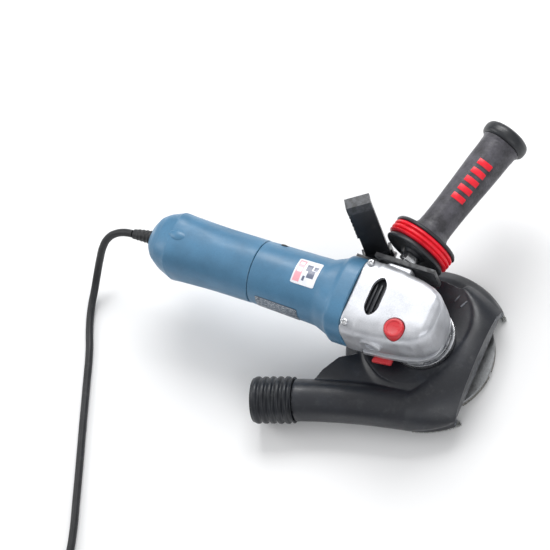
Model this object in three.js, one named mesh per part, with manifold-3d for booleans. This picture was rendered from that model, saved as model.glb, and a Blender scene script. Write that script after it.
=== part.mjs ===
// Hand-held concrete grinder: an angle grinder with a cup wheel under a dust extraction hood.
// Millimetres, +X from the tail towards the gear head, +Y towards the side handle, +Z up.
// The tool stands on the brush ring of its hood, so the floor is z = 0.
import * as THREE from "three";
import { mergeVertices } from "three/addons/utils/BufferGeometryUtils.js";
import Module from "manifold-3d";

const wasm = await Module();
wasm.setup();

// ---------- driving dimensions ----------
const gap = 0.3; // clearance between pieces that touch
const spindleX = 117.89; // spindle axis, from the middle of the tool's footprint
const spindleY = -40.67;
const motorZ = 81; // height of the motor axis

const headTop = 112;
const headBottom = 62;
const headRear = -57;
const headFront = 27.5;
const headWall = 3.5;

const shoulderEnd = -75; // the wide ring of the motor housing, behind the gear head
const seamX = -159; // joint between motor housing and rear cover
const tailX = -274;
const barrelFrontR = 32;
const barrelRearR = 30;
const motorWall = 3;
const tailDrop = 3; // the tail sits a little below the motor axis

const wheelR = 62.5; // 125 mm cup wheel
const hoodR = 79;
const hoodTop = 42;
const hoodWall = 3;
const hoodLow = 4.5; // lower edge of the hood, above the brushes
const collarR = 28;
const neckR = 21.5;
const chordX = 55; // flat front of the hood, for work close to a wall

const gearTeeth = 24;
const pinionTeeth = 8;
const toothModule = 1.8;
const gearR = (gearTeeth * toothModule) / 2;
const pinionR = (pinionTeeth * toothModule) / 2;
const faceInner = 17.5 / gearR; // inner end of the teeth, as a share of the cone distance

const lockX = -5.3;
const lockY = -22.5;
const lockPinR = 14; // distance of the lock pin from the spindle axis
const lockAngle = Math.atan2(-13, lockX);

const ductR = 20;
const ductZ = 24.5;
const ductWall = 2.5;
const cuffLength = 40;

const handleAngle = 15; // degrees the side handle leans forward
const cordR = 3.75;

// ---------- helpers ----------
const rad = THREE.MathUtils.degToRad;
const V = (x, y, z) => new THREE.Vector3(x, y, z);

function solid(geometry) {
  const g = geometry.clone();
  g.deleteAttribute("normal");
  g.deleteAttribute("uv");
  const merged = mergeVertices(g, 1e-4);
  const index = merged.index.array;
  const kept = [];
  for (let i = 0; i < index.length; i += 3) {
    const [a, b, c] = [index[i], index[i + 1], index[i + 2]];
    if (a !== b && b !== c && a !== c) kept.push(a, b, c);
  }
  const build = (tris) =>
    new wasm.Manifold(
      new wasm.Mesh({
        numProp: 3,
        vertProperties: merged.attributes.position.array,
        triVerts: new Uint32Array(tris),
      }),
    );
  const made = build(kept);
  if (made.volume() > 0) return made;
  const turned = [];
  for (let i = 0; i < kept.length; i += 3) turned.push(kept[i], kept[i + 2], kept[i + 1]);
  return build(turned);
}

const asSolid = (item) => (item.isBufferGeometry ? solid(item) : item);
const join = (...items) => items.map(asSolid).reduce((a, b) => a.add(b));
const cut = (body, ...tools) => tools.map(asSolid).reduce((a, b) => a.subtract(b), asSolid(body));
const common = (...items) => items.map(asSolid).reduce((a, b) => a.intersect(b));

function toGeometry(manifold) {
  const m = manifold.getMesh();
  const g = new THREE.BufferGeometry();
  const xyz = new Float32Array(m.numVert * 3);
  for (let i = 0; i < m.numVert; i++) {
    xyz.set(m.vertProperties.subarray(i * m.numProp, i * m.numProp + 3), i * 3);
  }
  g.setAttribute("position", new THREE.BufferAttribute(xyz, 3));
  g.setIndex(new THREE.BufferAttribute(m.triVerts, 1));
  g.computeVertexNormals();
  return g;
}

// A box from its lowest to its highest corner.
function block(x0, x1, y0, y1, z0, z1) {
  const g = new THREE.BoxGeometry(x1 - x0, y1 - y0, z1 - z0);
  return g.translate((x0 + x1) / 2, (y0 + y1) / 2, (z0 + z1) / 2);
}

// A turned solid about +Z from [radius, height] points; a profile off the axis is closed.
function turned(profile, segments = 28) {
  const points = profile.map(([r, h]) => new THREE.Vector2(r, h));
  if (profile[0][0] > 0) points.push(points[0].clone());
  return new THREE.LatheGeometry(points, segments).rotateX(Math.PI / 2);
}

const turnedX = (profile, segments) => turned(profile, segments).rotateY(Math.PI / 2);
const disc = (r, z0, z1, segments) => turned([[0, z0], [r, z0], [r, z1], [0, z1]], segments);
const discX = (r, x0, x1, segments) => turnedX([[0, x0], [r, x0], [r, x1], [0, x1]], segments);

function ring(inner, outer, z0, z1, segments) {
  return turned([[inner, z0], [outer, z0], [outer, z1], [inner, z1]], segments);
}
function ringX(inner, outer, x0, x1, segments) {
  return turnedX([[inner, x0], [outer, x0], [outer, x1], [inner, x1]], segments);
}

// A closed solid through rings of equal point counts; "loop" joins the last ring to the first.
function loft(rings, loop = false) {
  const n = rings[0].length;
  const xyz = [];
  const tris = [];
  for (const r of rings) for (const p of r) xyz.push(p.x, p.y, p.z);
  const spans = loop ? rings.length : rings.length - 1;
  for (let i = 0; i < spans; i++) {
    const a = i * n;
    const b = ((i + 1) % rings.length) * n;
    for (let j = 0; j < n; j++) {
      const k = (j + 1) % n;
      tris.push(a + j, a + k, b + k, a + j, b + k, b + j);
    }
  }
  if (!loop) {
    for (const [ringIndex, flip] of [[0, true], [rings.length - 1, false]]) {
      const middle = rings[ringIndex].reduce((s, p) => s.add(p), V(0, 0, 0)).divideScalar(n);
      const m = xyz.length / 3;
      xyz.push(middle.x, middle.y, middle.z);
      for (let j = 0; j < n; j++) {
        const a = ringIndex * n + j;
        const b = ringIndex * n + ((j + 1) % n);
        tris.push(...(flip ? [b, a, m] : [a, b, m]));
      }
    }
  }
  const g = new THREE.BufferGeometry();
  g.setAttribute("position", new THREE.BufferAttribute(new Float32Array(xyz), 3));
  g.setIndex(tris);
  return g;
}

// A ring of points in a plane of constant x: a circle that squares up as the power grows.
function squircleX(x, halfWidth, low, high, power, count = 28) {
  const points = [];
  for (let i = 0; i < count; i++) {
    const t = (i / count) * 2 * Math.PI;
    const round = (v) => Math.sign(v) * Math.abs(v) ** (2 / power);
    const y = halfWidth * round(Math.cos(t));
    const z = (low + high) / 2 + ((high - low) / 2) * round(Math.sin(t));
    points.push(V(x, y, z));
  }
  return points;
}

// An arc-shaped sector of a ring, with angles in degrees, extruded from z0 to z1.
function sector(inner, outer, from, to, z0, z1) {
  const steps = Math.max(2, Math.ceil(Math.abs(to - from) / 12));
  const outline = [];
  for (let i = 0; i <= steps; i++) {
    const a = rad(from + ((to - from) * i) / steps);
    outline.push(new THREE.Vector2(outer * Math.cos(a), outer * Math.sin(a)));
  }
  for (let i = steps; i >= 0; i--) {
    const a = rad(from + ((to - from) * i) / steps);
    outline.push(new THREE.Vector2(inner * Math.cos(a), inner * Math.sin(a)));
  }
  const shape = new THREE.Shape(outline);
  const g = new THREE.ExtrudeGeometry(shape, { depth: z1 - z0, bevelEnabled: false });
  return g.translate(0, 0, z0);
}
// The same along X, with angle 0 towards +Z and 90 towards +Y.
const swapXZ = new THREE.Matrix4().set(0, 0, 1, 0, 0, 1, 0, 0, 1, 0, 0, 0, 0, 0, 0, 1);
const sectorX = (...args) => sector(...args).applyMatrix4(swapXZ);

// A solid of one polygon in plan between two heights.
function slab(outline, z0, z1) {
  const shape = new THREE.Shape(outline.map(([x, y]) => new THREE.Vector2(x, y)));
  return new THREE.ExtrudeGeometry(shape, { depth: z1 - z0, bevelEnabled: false }).translate(0, 0, z0);
}

// A round bar along a smooth curve through points.
function bar(points, radius, sides, steps) {
  const circle = new THREE.Shape(
    Array.from({ length: sides }, (_, i) => {
      const a = ((i + 0.5) / sides) * 2 * Math.PI;
      return new THREE.Vector2(radius * Math.cos(a), radius * Math.sin(a));
    }),
  );
  const path = new THREE.CatmullRomCurve3(points, false, "centripetal");
  return new THREE.ExtrudeGeometry(circle, { steps, extrudePath: path, bevelEnabled: false });
}

// ---------- scene graph ----------
const grinder = new THREE.Group();
const tool = new THREE.Group(); // everything measured from the spindle axis
tool.position.set(spindleX, spindleY, 0);
grinder.add(tool);
const motor = new THREE.Group(); // everything round the motor axis
motor.position.set(0, 0, motorZ);
tool.add(motor);
const sideHandle = new THREE.Group(); // along its own +Z, out of the bracket
sideHandle.position.set(-27.5, 46.3, 90.5);
sideHandle.rotation.set(-Math.PI / 2, 0, rad(-handleAngle), "ZXY");
tool.add(sideHandle);

// A solid made along +X, turned onto the axis of the side handle in the tool's frame.
function alongHandle(geometry) {
  const { x, y, z } = sideHandle.position;
  return geometry.rotateZ(rad(90 - handleAngle)).translate(x, y, z);
}

const finish = {
  blue: [0x3f7396, 0.45, 0],
  castSilver: [0xc9cdd2, 0.42, 0.8],
  steel: [0x9da1a6, 0.35, 0.9],
  darkSteel: [0x55585c, 0.5, 0.8],
  black: [0x1b1d20, 0.55, 0],
  hoodBlack: [0x17191e, 0.48, 0],
  grip: [0x2d2f36, 0.6, 0],
  rubber: [0x141416, 0.8, 0],
  red: [0xc8242c, 0.4, 0],
  copper: [0xb5683a, 0.4, 0.8],
  carbon: [0x26272a, 0.7, 0.1],
  brass: [0xb8973f, 0.4, 0.9],
  white: [0xe9e9e6, 0.5, 0],
  bristle: [0x4a4e4a, 0.9, 0],
  diamond: [0x77746c, 0.85, 0.2],
};

function piece(name, shape, look, parent = tool) {
  const [color, roughness, metalness] = finish[look];
  const material = new THREE.MeshStandardMaterial({ color, roughness, metalness });
  const mesh = new THREE.Mesh(toGeometry(asSolid(shape)), material);
  mesh.name = name;
  parent.add(mesh);
  return mesh;
}

// ---------- motor housing, rear cover and what they hold ----------
const motorLow = (r) => motorZ - r;
const barrelR = (x) =>
  barrelRearR + ((barrelFrontR - barrelRearR) * (x - seamX)) / (-92 - seamX);

const switchTilt = -25; // degrees the slide switch sits below the middle of the left side

function aroundMotor(geometry, degrees) {
  return geometry.rotateX(rad(degrees)).translate(0, 0, motorZ);
}

function motorHousing() {
  const outside = [
    [headRear - gap, 38.5, 47, 114, 3],
    [headRear - 2, 39.5, 46, 115, 3],
    [shoulderEnd + 3, 39.5, 46, 115, 3],
    [shoulderEnd, 38, 47.5, 113.5, 2.8],
    [-84, 34, 48, 113.5, 2.3],
    [-92, barrelFrontR, motorLow(32), motorZ + 32, 2],
    [-125, barrelR(-125), motorLow(barrelR(-125)), motorZ + barrelR(-125), 2],
    [seamX + gap, barrelRearR, motorLow(barrelRearR), motorZ + barrelRearR, 2],
  ];
  const inside = [
    [headRear, 35.5, 50, 111, 3],
    [shoulderEnd + 2, 35.5, 50, 111, 3],
    [-86, barrelR(-92) - motorWall, motorLow(29), motorZ + 29, 2],
    [seamX - 1, barrelRearR - motorWall, motorLow(27), motorZ + 27, 2],
  ];
  const cutters = [
    loft(inside.map((s) => squircleX(...s))),
    aroundMotor(block(-162, -121, 29.4, 40, -7, 7), switchTilt), // recess of the slide switch
    aroundMotor(block(-157, -137, 20, 34, -2.4, 2.4), switchTilt), // slot for its foot
  ];
  for (let i = 0; i < 5; i++) {
    const x = shoulderEnd + 4 + 2.6 * i; // cooling slots low on the right side of the shoulder
    cutters.push(block(x, x + 1.4, -45, -30, 62, 74));
  }
  return cut(loft(outside.map((s) => squircleX(...s))), ...cutters);
}

// Centre line of the bend sleeve, drooping under the weight of the cord.
const sleeveLine = [
  V(-262, 0, motorZ - tailDrop),
  V(-271, 0, motorZ - tailDrop - 0.2),
  V(-280, -0.2, motorZ - tailDrop - 0.8),
  V(-289, -0.5, motorZ - tailDrop - 2),
  V(-298, -1, motorZ - tailDrop - 3.8),
];

function rearCover() {
  const section = (x, r, power) => {
    const middle = motorZ - tailDrop * Math.min(1, (seamX - x) / 90);
    return squircleX(x, r, middle - r, middle + r, power);
  };
  const outside = [
    section(seamX - gap, barrelRearR + 0.4, 2),
    section(-200, 30.2, 2.1),
    section(-236, 30.6, 2.3),
    section(-248, 30.2, 2.7),
    section(-262, 24.5, 2.8),
    section(-268, 20.5, 2.8),
    section(tailX, 13, 2.6),
  ];
  const inside = [
    section(seamX + 1, 27, 2),
    section(-200, 27, 2.1),
    section(-246, 26, 2.5),
    section(-258, 19, 2.5),
    section(-268, 9, 2.5),
  ];
  const bump = new THREE.SphereGeometry(7, 12, 6).scale(1.5, 0.9, 0.5).translate(-240, 0, motorZ + 26.3);
  return cut(join(loft(outside), bump), loft(inside), bar(sleeveLine, 8.3, 20, 8));
}

// A thin plate that lies on the tapered barrel between two angles, with 0 towards +Z and 90 towards +Y.
function plate(x0, x1, from, to) {
  const [r0, r1] = [barrelR(x0), barrelR(x1)];
  const shell = turnedX([[r0 + 0.1, x0], [r0 + 0.6, x0], [r1 + 0.6, x1], [r1 + 0.1, x1]], 60);
  return common(shell, sectorX(20, 50, from, to, x0 - 1, x1 + 1));
}

const statorFront = -84;
const statorRear = -132;

function statorCore() {
  const core = ringX(22, 26.2, statorRear, statorFront, 32);
  const poles = [0, 180].map((a) => sectorX(19.3, 22.5, a - 34, a + 34, statorRear, statorFront));
  return join(core, ...poles);
}

// One saddle-shaped field coil: a frame bent round one pole of the stator.
function fieldCoil(side) {
  const middle = side > 0 ? 0 : 180;
  const frame = sectorX(19.3, 21.6, middle - 66, middle + 66, statorRear - 7, statorFront + 7);
  const opening = sectorX(18, 23, middle - 36, middle + 36, statorRear - 1, statorFront + 1);
  return cut(frame, opening);
}

const slots = 12;
function armatureCore() {
  const tools = [discX(5.3, -140, -80, 20)];
  for (let i = 0; i < slots; i++) {
    tools.push(block(-140, -80, -1.8, 1.8, 13, 19).rotateX((i / slots) * 2 * Math.PI));
  }
  return cut(discX(18.2, -131, -85, 24), ...tools);
}

function armatureWinding() {
  const ends = [ringX(6, 16.2, -141, -131 - gap, 24), ringX(6, 16.2, -85 + gap, -76, 24)];
  const bars = [];
  for (let i = 0; i < slots; i++) {
    bars.push(block(-139, -78, -1.5, 1.5, 13.3, 16).rotateX((i / slots) * 2 * Math.PI));
  }
  return join(...ends, ...bars);
}

function coolingFan() {
  const blades = [];
  const count = 9;
  for (let i = 0; i < count; i++) {
    blades.push(block(-63.5, -60, -0.9, 0.9, 9, 28.5).rotateX((i / count) * 2 * Math.PI));
  }
  return join(ringX(5.3, 29, -65.5, -63, 27), ringX(5.3, 10, -65.5, -60, 20), ...blades);
}

function buildMotor() {
  piece("motor_housing", motorHousing(), "blue");
  piece("rear_cover", rearCover(), "blue");
  piece("stator_core", statorCore(), "darkSteel", motor);
  piece("field_coil_upper", fieldCoil(1), "copper", motor);
  piece("field_coil_lower", fieldCoil(-1), "copper", motor);
  // Plate behind the gear head: it holds the front bearing and guides the cooling air.
  piece(
    "air_baffle",
    cut(
      join(
        loft([-57.6, -55].map((x) => squircleX(x, 32.5, 55, 107, 3))),
        discX(15, -56, -45, 28).translate(0, 0, motorZ),
      ),
      discX(11.4, -54.5, -44, 28).translate(0, 0, motorZ),
      discX(7, -60, -50, 24).translate(0, 0, motorZ),
      ...[40, 140, 220, 320].map((a) =>
        sectorX(19, 26, a - 24, a + 24, -60, -50).translate(0, 0, motorZ),
      ),
    ),
    "black",
  );
  piece("front_bearing", ringX(5.3, 11, -54, -46.5, 24), "steel", motor);
  piece("rear_bearing", ringX(4.3, 9, -196, -189, 24), "steel", motor);
  piece(
    "rear_bearing_bracket",
    cut(
      join(ringX(9.4, 12.5, -197.5, -188, 24), block(-196, -190, -24.3, 24.3, -5, 5)),
      discX(9.4, -200, -186, 24),
    ),
    "black",
    motor,
  );
  for (const [side, name] of [[1, "left"], [-1, "right"]]) {
    const y0 = side > 0 ? 12.5 : -24;
    piece(
      "brush_holder_" + name,
      cut(block(-177, -165, y0, y0 + 11.5, -5.5, 5.5), block(-174.5, -167.5, y0 - 1, y0 + 12.5, -3.5, 3.5)),
      "brass",
      motor,
    );
    const yb = side > 0 ? 11.6 : -22.6;
    piece("carbon_brush_" + name, block(-174.2, -167.8, yb, yb + 11, -3.2, 3.2), "carbon", motor);
  }
  piece("switch_module", block(-242, -206, -9, 12, motorZ - 12, motorZ + 10), "black");
  const sleeveRadius = (i) => 8 - (2.8 * i) / (sleeveLine.length - 1);
  const sleeveRings = sleeveLine.map((p, i) => {
    const before = sleeveLine[Math.max(i - 1, 0)];
    const after = sleeveLine[Math.min(i + 1, sleeveLine.length - 1)];
    return circleAt(p, after.clone().sub(before).normalize(), sleeveRadius(i), 20);
  });
  piece("cord_sleeve", loft(sleeveRings), "rubber");
  piece("type_label", plate(-117, -93, -19, 29), "white", motor);
  piece("rating_plate", plate(-150, -106, -104, -66), "darkSteel", motor);
}

function buildArmature() {
  piece(
    "armature_shaft",
    turnedX([[0, -199], [4, -199], [4, -187], [5, -186], [5, -30], [4, -29], [4, -14], [0, -14]], 20),
    "steel",
    motor,
  );
  piece("armature_core", armatureCore(), "darkSteel", motor);
  piece("armature_winding", armatureWinding(), "copper", motor);
  piece("commutator", ringX(5.3, 11, -180, -162, 24), "copper", motor);
  piece("cooling_fan", coolingFan(), "white", motor);
  piece("drive_pinion", drivePinion(), "steel", motor);
}

// ---------- bevel gears, with their cones meeting where the two axes cross ----------
// Points of one tooth ring. "out" and "up" are the pitch circle and its distance along the axis.
function toothRing(teeth, out, up, normal, scale, phase) {
  const points = [];
  const tip = 0.75;
  const root = -1.5;
  for (let i = 0; i < teeth; i++) {
    for (const [at, height] of [[-0.3, root], [-0.14, tip], [0.14, tip], [0.3, root]]) {
      const a = ((i + at + phase) / teeth) * 2 * Math.PI;
      const r = (out + normal[0] * height) * scale;
      const h = (up + normal[1] * height) * scale;
      points.push(V(r * Math.cos(a), r * Math.sin(a), h));
    }
  }
  return points;
}

const plainRing = (like, r, h) => like.map((p) => V(p.x, p.y, 0).setLength(r).setZ(h));

function bevelGear() {
  const cone = Math.hypot(gearR, pinionR);
  const normal = [pinionR / cone, gearR / cone];
  const outer = toothRing(gearTeeth, gearR, -pinionR, normal, 1, 0.5);
  const inner = toothRing(gearTeeth, gearR, -pinionR, normal, faceInner, 0.5);
  const web = -7.2;
  const body = loft(
    [
      plainRing(outer, 8.3, -15.2),
      plainRing(outer, 19.5, -15.2),
      outer,
      inner,
      plainRing(outer, 8.3, web),
    ],
    true,
  ).translate(0, 0, motorZ);
  const holes = [];
  for (let i = 0; i < 8; i++) {
    const a = lockAngle + (i / 8) * 2 * Math.PI;
    holes.push(disc(3, 60, 80, 10).translate(lockPinR * Math.cos(a), lockPinR * Math.sin(a), 0));
  }
  return cut(body, ...holes);
}

function drivePinion() {
  const cone = Math.hypot(gearR, pinionR);
  const normal = [gearR / cone, pinionR / cone];
  const outer = toothRing(pinionTeeth, pinionR, -gearR, normal, 1, 0);
  const inner = toothRing(pinionTeeth, pinionR, -gearR, normal, faceInner, 0);
  const body = loft(
    [plainRing(outer, 4.2, -27.5), plainRing(outer, 5.6, -27.5), outer, inner, plainRing(outer, 4.2, -16.5)],
    true,
  );
  return asSolid(body.rotateY(Math.PI / 2));
}

// ---------- gear head ----------
const headPlan = [
  [headRear, 38.5], [-50, 38.5], [-42, 38], [-20, 36], [0, 33], [12, 29.5], [19, 25.5], [24, 20.5],
  [26.5, 16], [headFront, 10],
];

function gearHousing() {
  const outside = [];
  for (const [x, half] of headPlan) {
    const low = x < -43 ? 50 : headBottom;
    if (x === -42) outside.push(squircleX(-43.5, 38.1, 50, headTop, 5));
    const drop = Math.max(0, (x - 22) * 0.9);
    outside.push(squircleX(x, half, low, headTop - drop, 5));
  }
  const inside = headPlan
    .filter(([x]) => x < 20)
    .map(([x, half]) =>
      squircleX(x === headRear ? x - 1 : x, half - headWall - 0.5, x < -46 ? 54 : 50, headTop - headWall, 4),
    );
  inside.push(squircleX(headFront - headWall - 1, 12, 50, 106, 4));
  const shell = cut(
    loft(outside),
    loft(inside),
    slab([[-41, 14], [-34, 23], [-27, 14], [-27, -12], [-34, -20], [-41, -12]], 104, 120), // air outlet
    disc(10, 96.5, 120, 32).translate(lockX, lockY, 0), // the lock button, pressed too
    block(headRear - 1, headRear + 1.2, -34, 34, 50.5, 109.5), // seat of the air baffle
  );
  const bearingSeat = cut(disc(11.3, 97, 110, 28), disc(8.8, 90, 106, 28));
  // Ledge under the spring of the spindle lock.
  const ledge = block(-11, 1, -31, -19, 76, 79.5);
  const boss = block(-40, -15, 31, 41, 79, 102);
  const rightBoss = discX(10, -39.5, -31, 24).rotateZ(Math.PI / 2).translate(-27.5, 0, 88);
  return cut(join(shell, bearingSeat, ledge, boss, rightBoss), alongHandle(discX(6.4, -20, 5, 20)));
}

function bearingFlange() {
  const half = headPlan.filter(([x]) => x >= -42).map(([x, y]) => [x - 0.4, y - 0.6]);
  const outline = [...half.map(([x, y]) => [x, -y]), ...half.reverse()];
  const neck = turned([
    [10.6, 40], [neckR, 40], [neckR, 53], [24.5, 56.5], [24.5, 61], [14.3, 61], [14.3, 43.5], [10.6, 43.5],
  ]);
  const lug = slab([[0, -32], [14, -28], [14, -19], [0, -19]], 51.6, 57); // stop of the hood collar
  const plate = cut(slab(outline, 56, headBottom - gap), disc(14.3, 50, 64));
  return join(plate, neck, cut(lug, disc(neckR, 40, 60)));
}

function buildHead() {
  piece("gear_housing", gearHousing(), "castSilver");
  piece("bearing_flange", bearingFlange(), "castSilver");
  piece(
    "outlet_baffle",
    join(
      block(-44, -24, -21, 24, 101, 103),
      ...[-38.5, -34, -29.5].map((x) => block(x - 0.8, x + 0.8, -13, 15, 102.5, 107)),
    ),
    "black",
  );
  for (const [side, name] of [[1, "left"], [-1, "right"]]) {
    const z = headTop + 0.2;
    const head = turned([[0, z], [3.6, z], [3.2, z + 2.2], [0, z + 2.2]], 14);
    const recess = disc(1.6, z + 0.8, z + 4, 6);
    piece("gear_housing_screw_" + name, cut(head, recess).translate([-51.5, 31 * side, 0]), "steel");
    // The same screw head up-side down, under the bearing flange.
    const low = turned([[0, 53.5], [3, 53.5], [3.4, 55.7], [0, 55.7]], 14);
    piece("flange_screw_" + name, cut(low, disc(1.6, 52, 54.9, 6)).translate([-36, 24 * side, 0]), "steel");
  }
  piece("needle_bearing", ring(5.4, 8.5, 97.5, 105.5, 24), "steel");
  piece("spindle_bearing", ring(10.4, 14, 44, 55, 28), "steel");
}

function buildSpindle() {
  piece(
    "spindle_shaft",
    turned(
      [
        [0, 11], [6.2, 11], [7, 12], [7, 31], [10, 31], [10, 58], [8, 58], [8, 77], [6, 79], [6, 94], [5, 95],
        [5, 105], [0, 105],
      ],
      20,
    ),
    "steel",
  );
  piece("bevel_gear", bevelGear(), "steel");
  piece("mounting_flange", ring(7.3, 20.5, 23.5, 30.7, 32), "steel");
  piece(
    "cup_wheel",
    turned(
      [
        [7.4, 20], [22, 20], [38, 7.2], [wheelR, 7.2], [wheelR, 10.2], [39.5, 10.2], [23.5, 23.2],
        [7.4, 23.2],
      ],
      36,
    ),
    "steel",
  );
  const segments = [];
  for (let i = 0; i < 9; i++) segments.push(sector(42, wheelR - 0.6, i * 40 + 2, i * 40 + 38, 0.6, 6.4));
  piece("diamond_segments", join(ring(42, wheelR - 0.6, 6, 6.9, 36), ...segments), "diamond");
  piece(
    "clamp_nut",
    cut(ring(7.3, 17, 13.7, 19.7, 32), disc(2.2, 10, 17, 12).translate(12.5, 0, 0),
      disc(2.2, 10, 17, 12).translate(-12.5, 0, 0)),
    "steel",
  );
}

function buildControls() {
  const pin = [lockPinR * Math.cos(lockAngle), lockPinR * Math.sin(lockAngle)];
  piece(
    "lock_button",
    join(
      turned([[0, 102], [9.6, 102], [9.6, 113], [8.6, 114.4], [0, 114.4]], 32).translate(lockX, lockY, 0),
      block(lockX - 3.2, lockX + 3.2, -25.5, pin[1] - 0.5, 98.5, 102.5),
      disc(2.3, 75.6, 102, 16).translate(pin[0], pin[1], 0),
    ),
    "red",
  );
  const coil = [];
  const turns = 4;
  for (let i = 0; i <= turns * 10; i++) {
    const a = (i / 10) * 2 * Math.PI;
    coil.push(V(lockX + 3.6 * Math.cos(a), -23.5 + 3.6 * Math.sin(a), 80.6 + (16.6 * i) / (turns * 10)));
  }
  piece("lock_spring", bar(coil, 0.6, 5, turns * 9), "steel");
  // Slide switch on the left side of the motor housing.
  piece(
    "power_switch_slider",
    join(
      block(-158.2, -130, 29.9, 33, -6, 6),
      block(-150, -146, 22.5, 31, -1.9, 1.9),
      ...[-156, -151, -146, -141].map((x) => block(x, x + 2, 32.5, 34.6, -5, 5)),
    ).rotate([switchTilt, 0, 0]),
    "black",
    motor,
  );
  // Release lever of the hood, under the right side of the gear head.
  piece(
    "hood_release_lever",
    join(
      disc(4.5, 50.2, 55.4, 20).translate(-21, -30, 0),
      slab([[-33, -41], [-14, -38.5], [-14, -31], [-22, -26], [-32, -36]], 50.8, 55),
    ),
    "red",
  );
}

// ---------- side handle and the bracket beside the head ----------
const leverMatrix = leverPlacement();

// Frame of the black lever: its own X runs along the pivot, its own Z up the lever.
function leverPlacement() {
  const across = V(0.82, 0.57, 0).normalize();
  const lean = V(0, 0.26, 0.966);
  const face = lean.clone().cross(across).normalize();
  const up = across.clone().cross(face).normalize();
  const place = new THREE.Matrix4().makeBasis(across, face, up);
  return place.setPosition(-64.5, 56.8, 71.2);
}

function buildHandle() {
  const cheeks = [-14, 11.4].map((x) => block(x, x + 2.6, -4.5, 4.5, -8, 4.5).applyMatrix4(leverMatrix));
  const bracket = join(
    block(-54, 6, 41.4, 45.4, 74, 104),
    block(-78, -50, 41.4, 45.4, 62, 84),
    block(-78, -50, 41.4, 65, 61, 65.5),
    discX(2, -13, 13, 14).applyMatrix4(leverMatrix),
    ...cheeks,
  );
  piece("handle_bracket", cut(bracket, alongHandle(discX(6.4, -20, 10, 20))), "black");
  const stud = join(disc(5.8, -14, 9.6, 20), disc(9.5, 2.4, 9.6, 6));
  piece("handle_stud", stud, "steel", sideHandle);
  piece(
    "handle_inner_disc",
    turned([[0, 10], [9, 10], [11, 13.5], [24, 13.5], [29.5, 11.5], [31, 13], [29, 17], [0, 17]], 32),
    "black",
    sideHandle,
  );
  const grooves = [];
  const ringLow = 17.3;
  const ringHigh = 29;
  for (const z of [20.2, 24.7]) {
    grooves.push([32.5, z - 1.4], [29.5, z - 0.6], [29.5, z + 0.6], [32.5, z + 1.4]);
  }
  piece(
    "damping_ring",
    turned([[0, ringLow], [31, ringLow], ...grooves, [31.5, ringHigh], [0, ringHigh]], 32),
    "red",
    sideHandle,
  );
  piece(
    "handle_outer_disc",
    turned([[0, 29.3], [32.5, 29.3], [33, 31], [31.5, 33], [0, 33]], 32),
    "black",
    sideHandle,
  );
  piece(
    "handle_grip",
    turned(
      [
        [0, 33.3], [19.5, 33.3], [18, 38], [16.2, 43], [16.6, 80], [18, 120], [18.4, 143], [20, 146],
        [0, 146],
      ],
      24,
    ),
    "grip",
    sideHandle,
  );
  piece(
    "handle_end_cap",
    turned([[0, 146.3], [21.5, 146.3], [22.8, 149], [22.8, 155], [20, 159.5], [0, 160.5]], 28),
    "black",
    sideHandle,
  );
}

// ---------- dust hood ----------
const onCircle = (r, degrees, z = 0) => V(r * Math.cos(rad(degrees)), r * Math.sin(rad(degrees)), z);

// Inner edge of the channel that grows round the front and right side to the duct: angle and radius.
const channelEdge = [[75, 60], [53, 53], [31, 44.5], [3, 36], [-42, 33], [-80, 46]];
const backEdge = [[-120, 54], [-165, 60], [-210, 62], [-250, 62]];
const channelEnd = -80;
const ductEnd = V(-96, -91, ductZ);
const ductAim = V(-0.945, -0.327, 0);
const channelCurve = new THREE.SplineCurve(channelEdge.map(([a, r]) => new THREE.Vector2(a, r)));

// Sections of the channel: high at its inner edge at first, round where it meets the duct.
function channelRings(shrink) {
  const rings = [];
  const steps = 12;
  for (let i = 0; i <= steps; i++) {
    const t = i / steps;
    const { x: angle, y: edge } = channelCurve.getPoint(t);
    const inner = edge - 1 + shrink;
    const outer = 72 + 7 * Math.min(1, 3 * t) + 6 * t ** 3 - shrink;
    const middle = (inner + outer) / 2;
    const half = (outer - inner) / 2;
    const skew = 0.75 * (1 - t ** 6);
    const height = hoodTop + 0.2 + 2.3 * t - ductR;
    const points = [];
    for (let j = 0; j < 18; j++) {
      const a = (j / 18) * 2 * Math.PI;
      const r = middle + half * (Math.cos(a) - skew * Math.max(0, Math.sin(a)));
      points.push(onCircle(r, angle, height + (ductR - shrink) * Math.sin(a)));
    }
    rings.push(points);
  }
  return rings;
}

function circleAt(centre, aim, r, count = 18) {
  const side = V(0, 0, 1).cross(aim).normalize();
  return Array.from({ length: count }, (_, i) => {
    const a = (i / count) * 2 * Math.PI;
    return centre.clone().addScaledVector(side, r * Math.cos(a)).add(V(0, 0, r * Math.sin(a)));
  });
}

function ductRings(shrink, from, to) {
  const start = onCircle(65, channelEnd, ductZ);
  const startAim = V(Math.sin(rad(channelEnd)), -Math.cos(rad(channelEnd)), 0);
  const reach = start.distanceTo(ductEnd) / 3;
  const line = new THREE.CubicBezierCurve3(
    start,
    start.clone().addScaledVector(startAim, reach),
    ductEnd.clone().addScaledVector(ductAim, -reach),
    ductEnd,
  );
  return [from, 0.25, 0.5, 0.75, to].map((t) => {
    const centre = line.getPoint(Math.max(0, Math.min(1, t)));
    const aim = line.getTangent(Math.max(0, Math.min(1, t)));
    if (t > 1) centre.addScaledVector(ductAim, (t - 1) * 100);
    if (t < 0) centre.addScaledVector(startAim, t * 100);
    return circleAt(centre, aim, ductR - shrink);
  });
}

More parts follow.
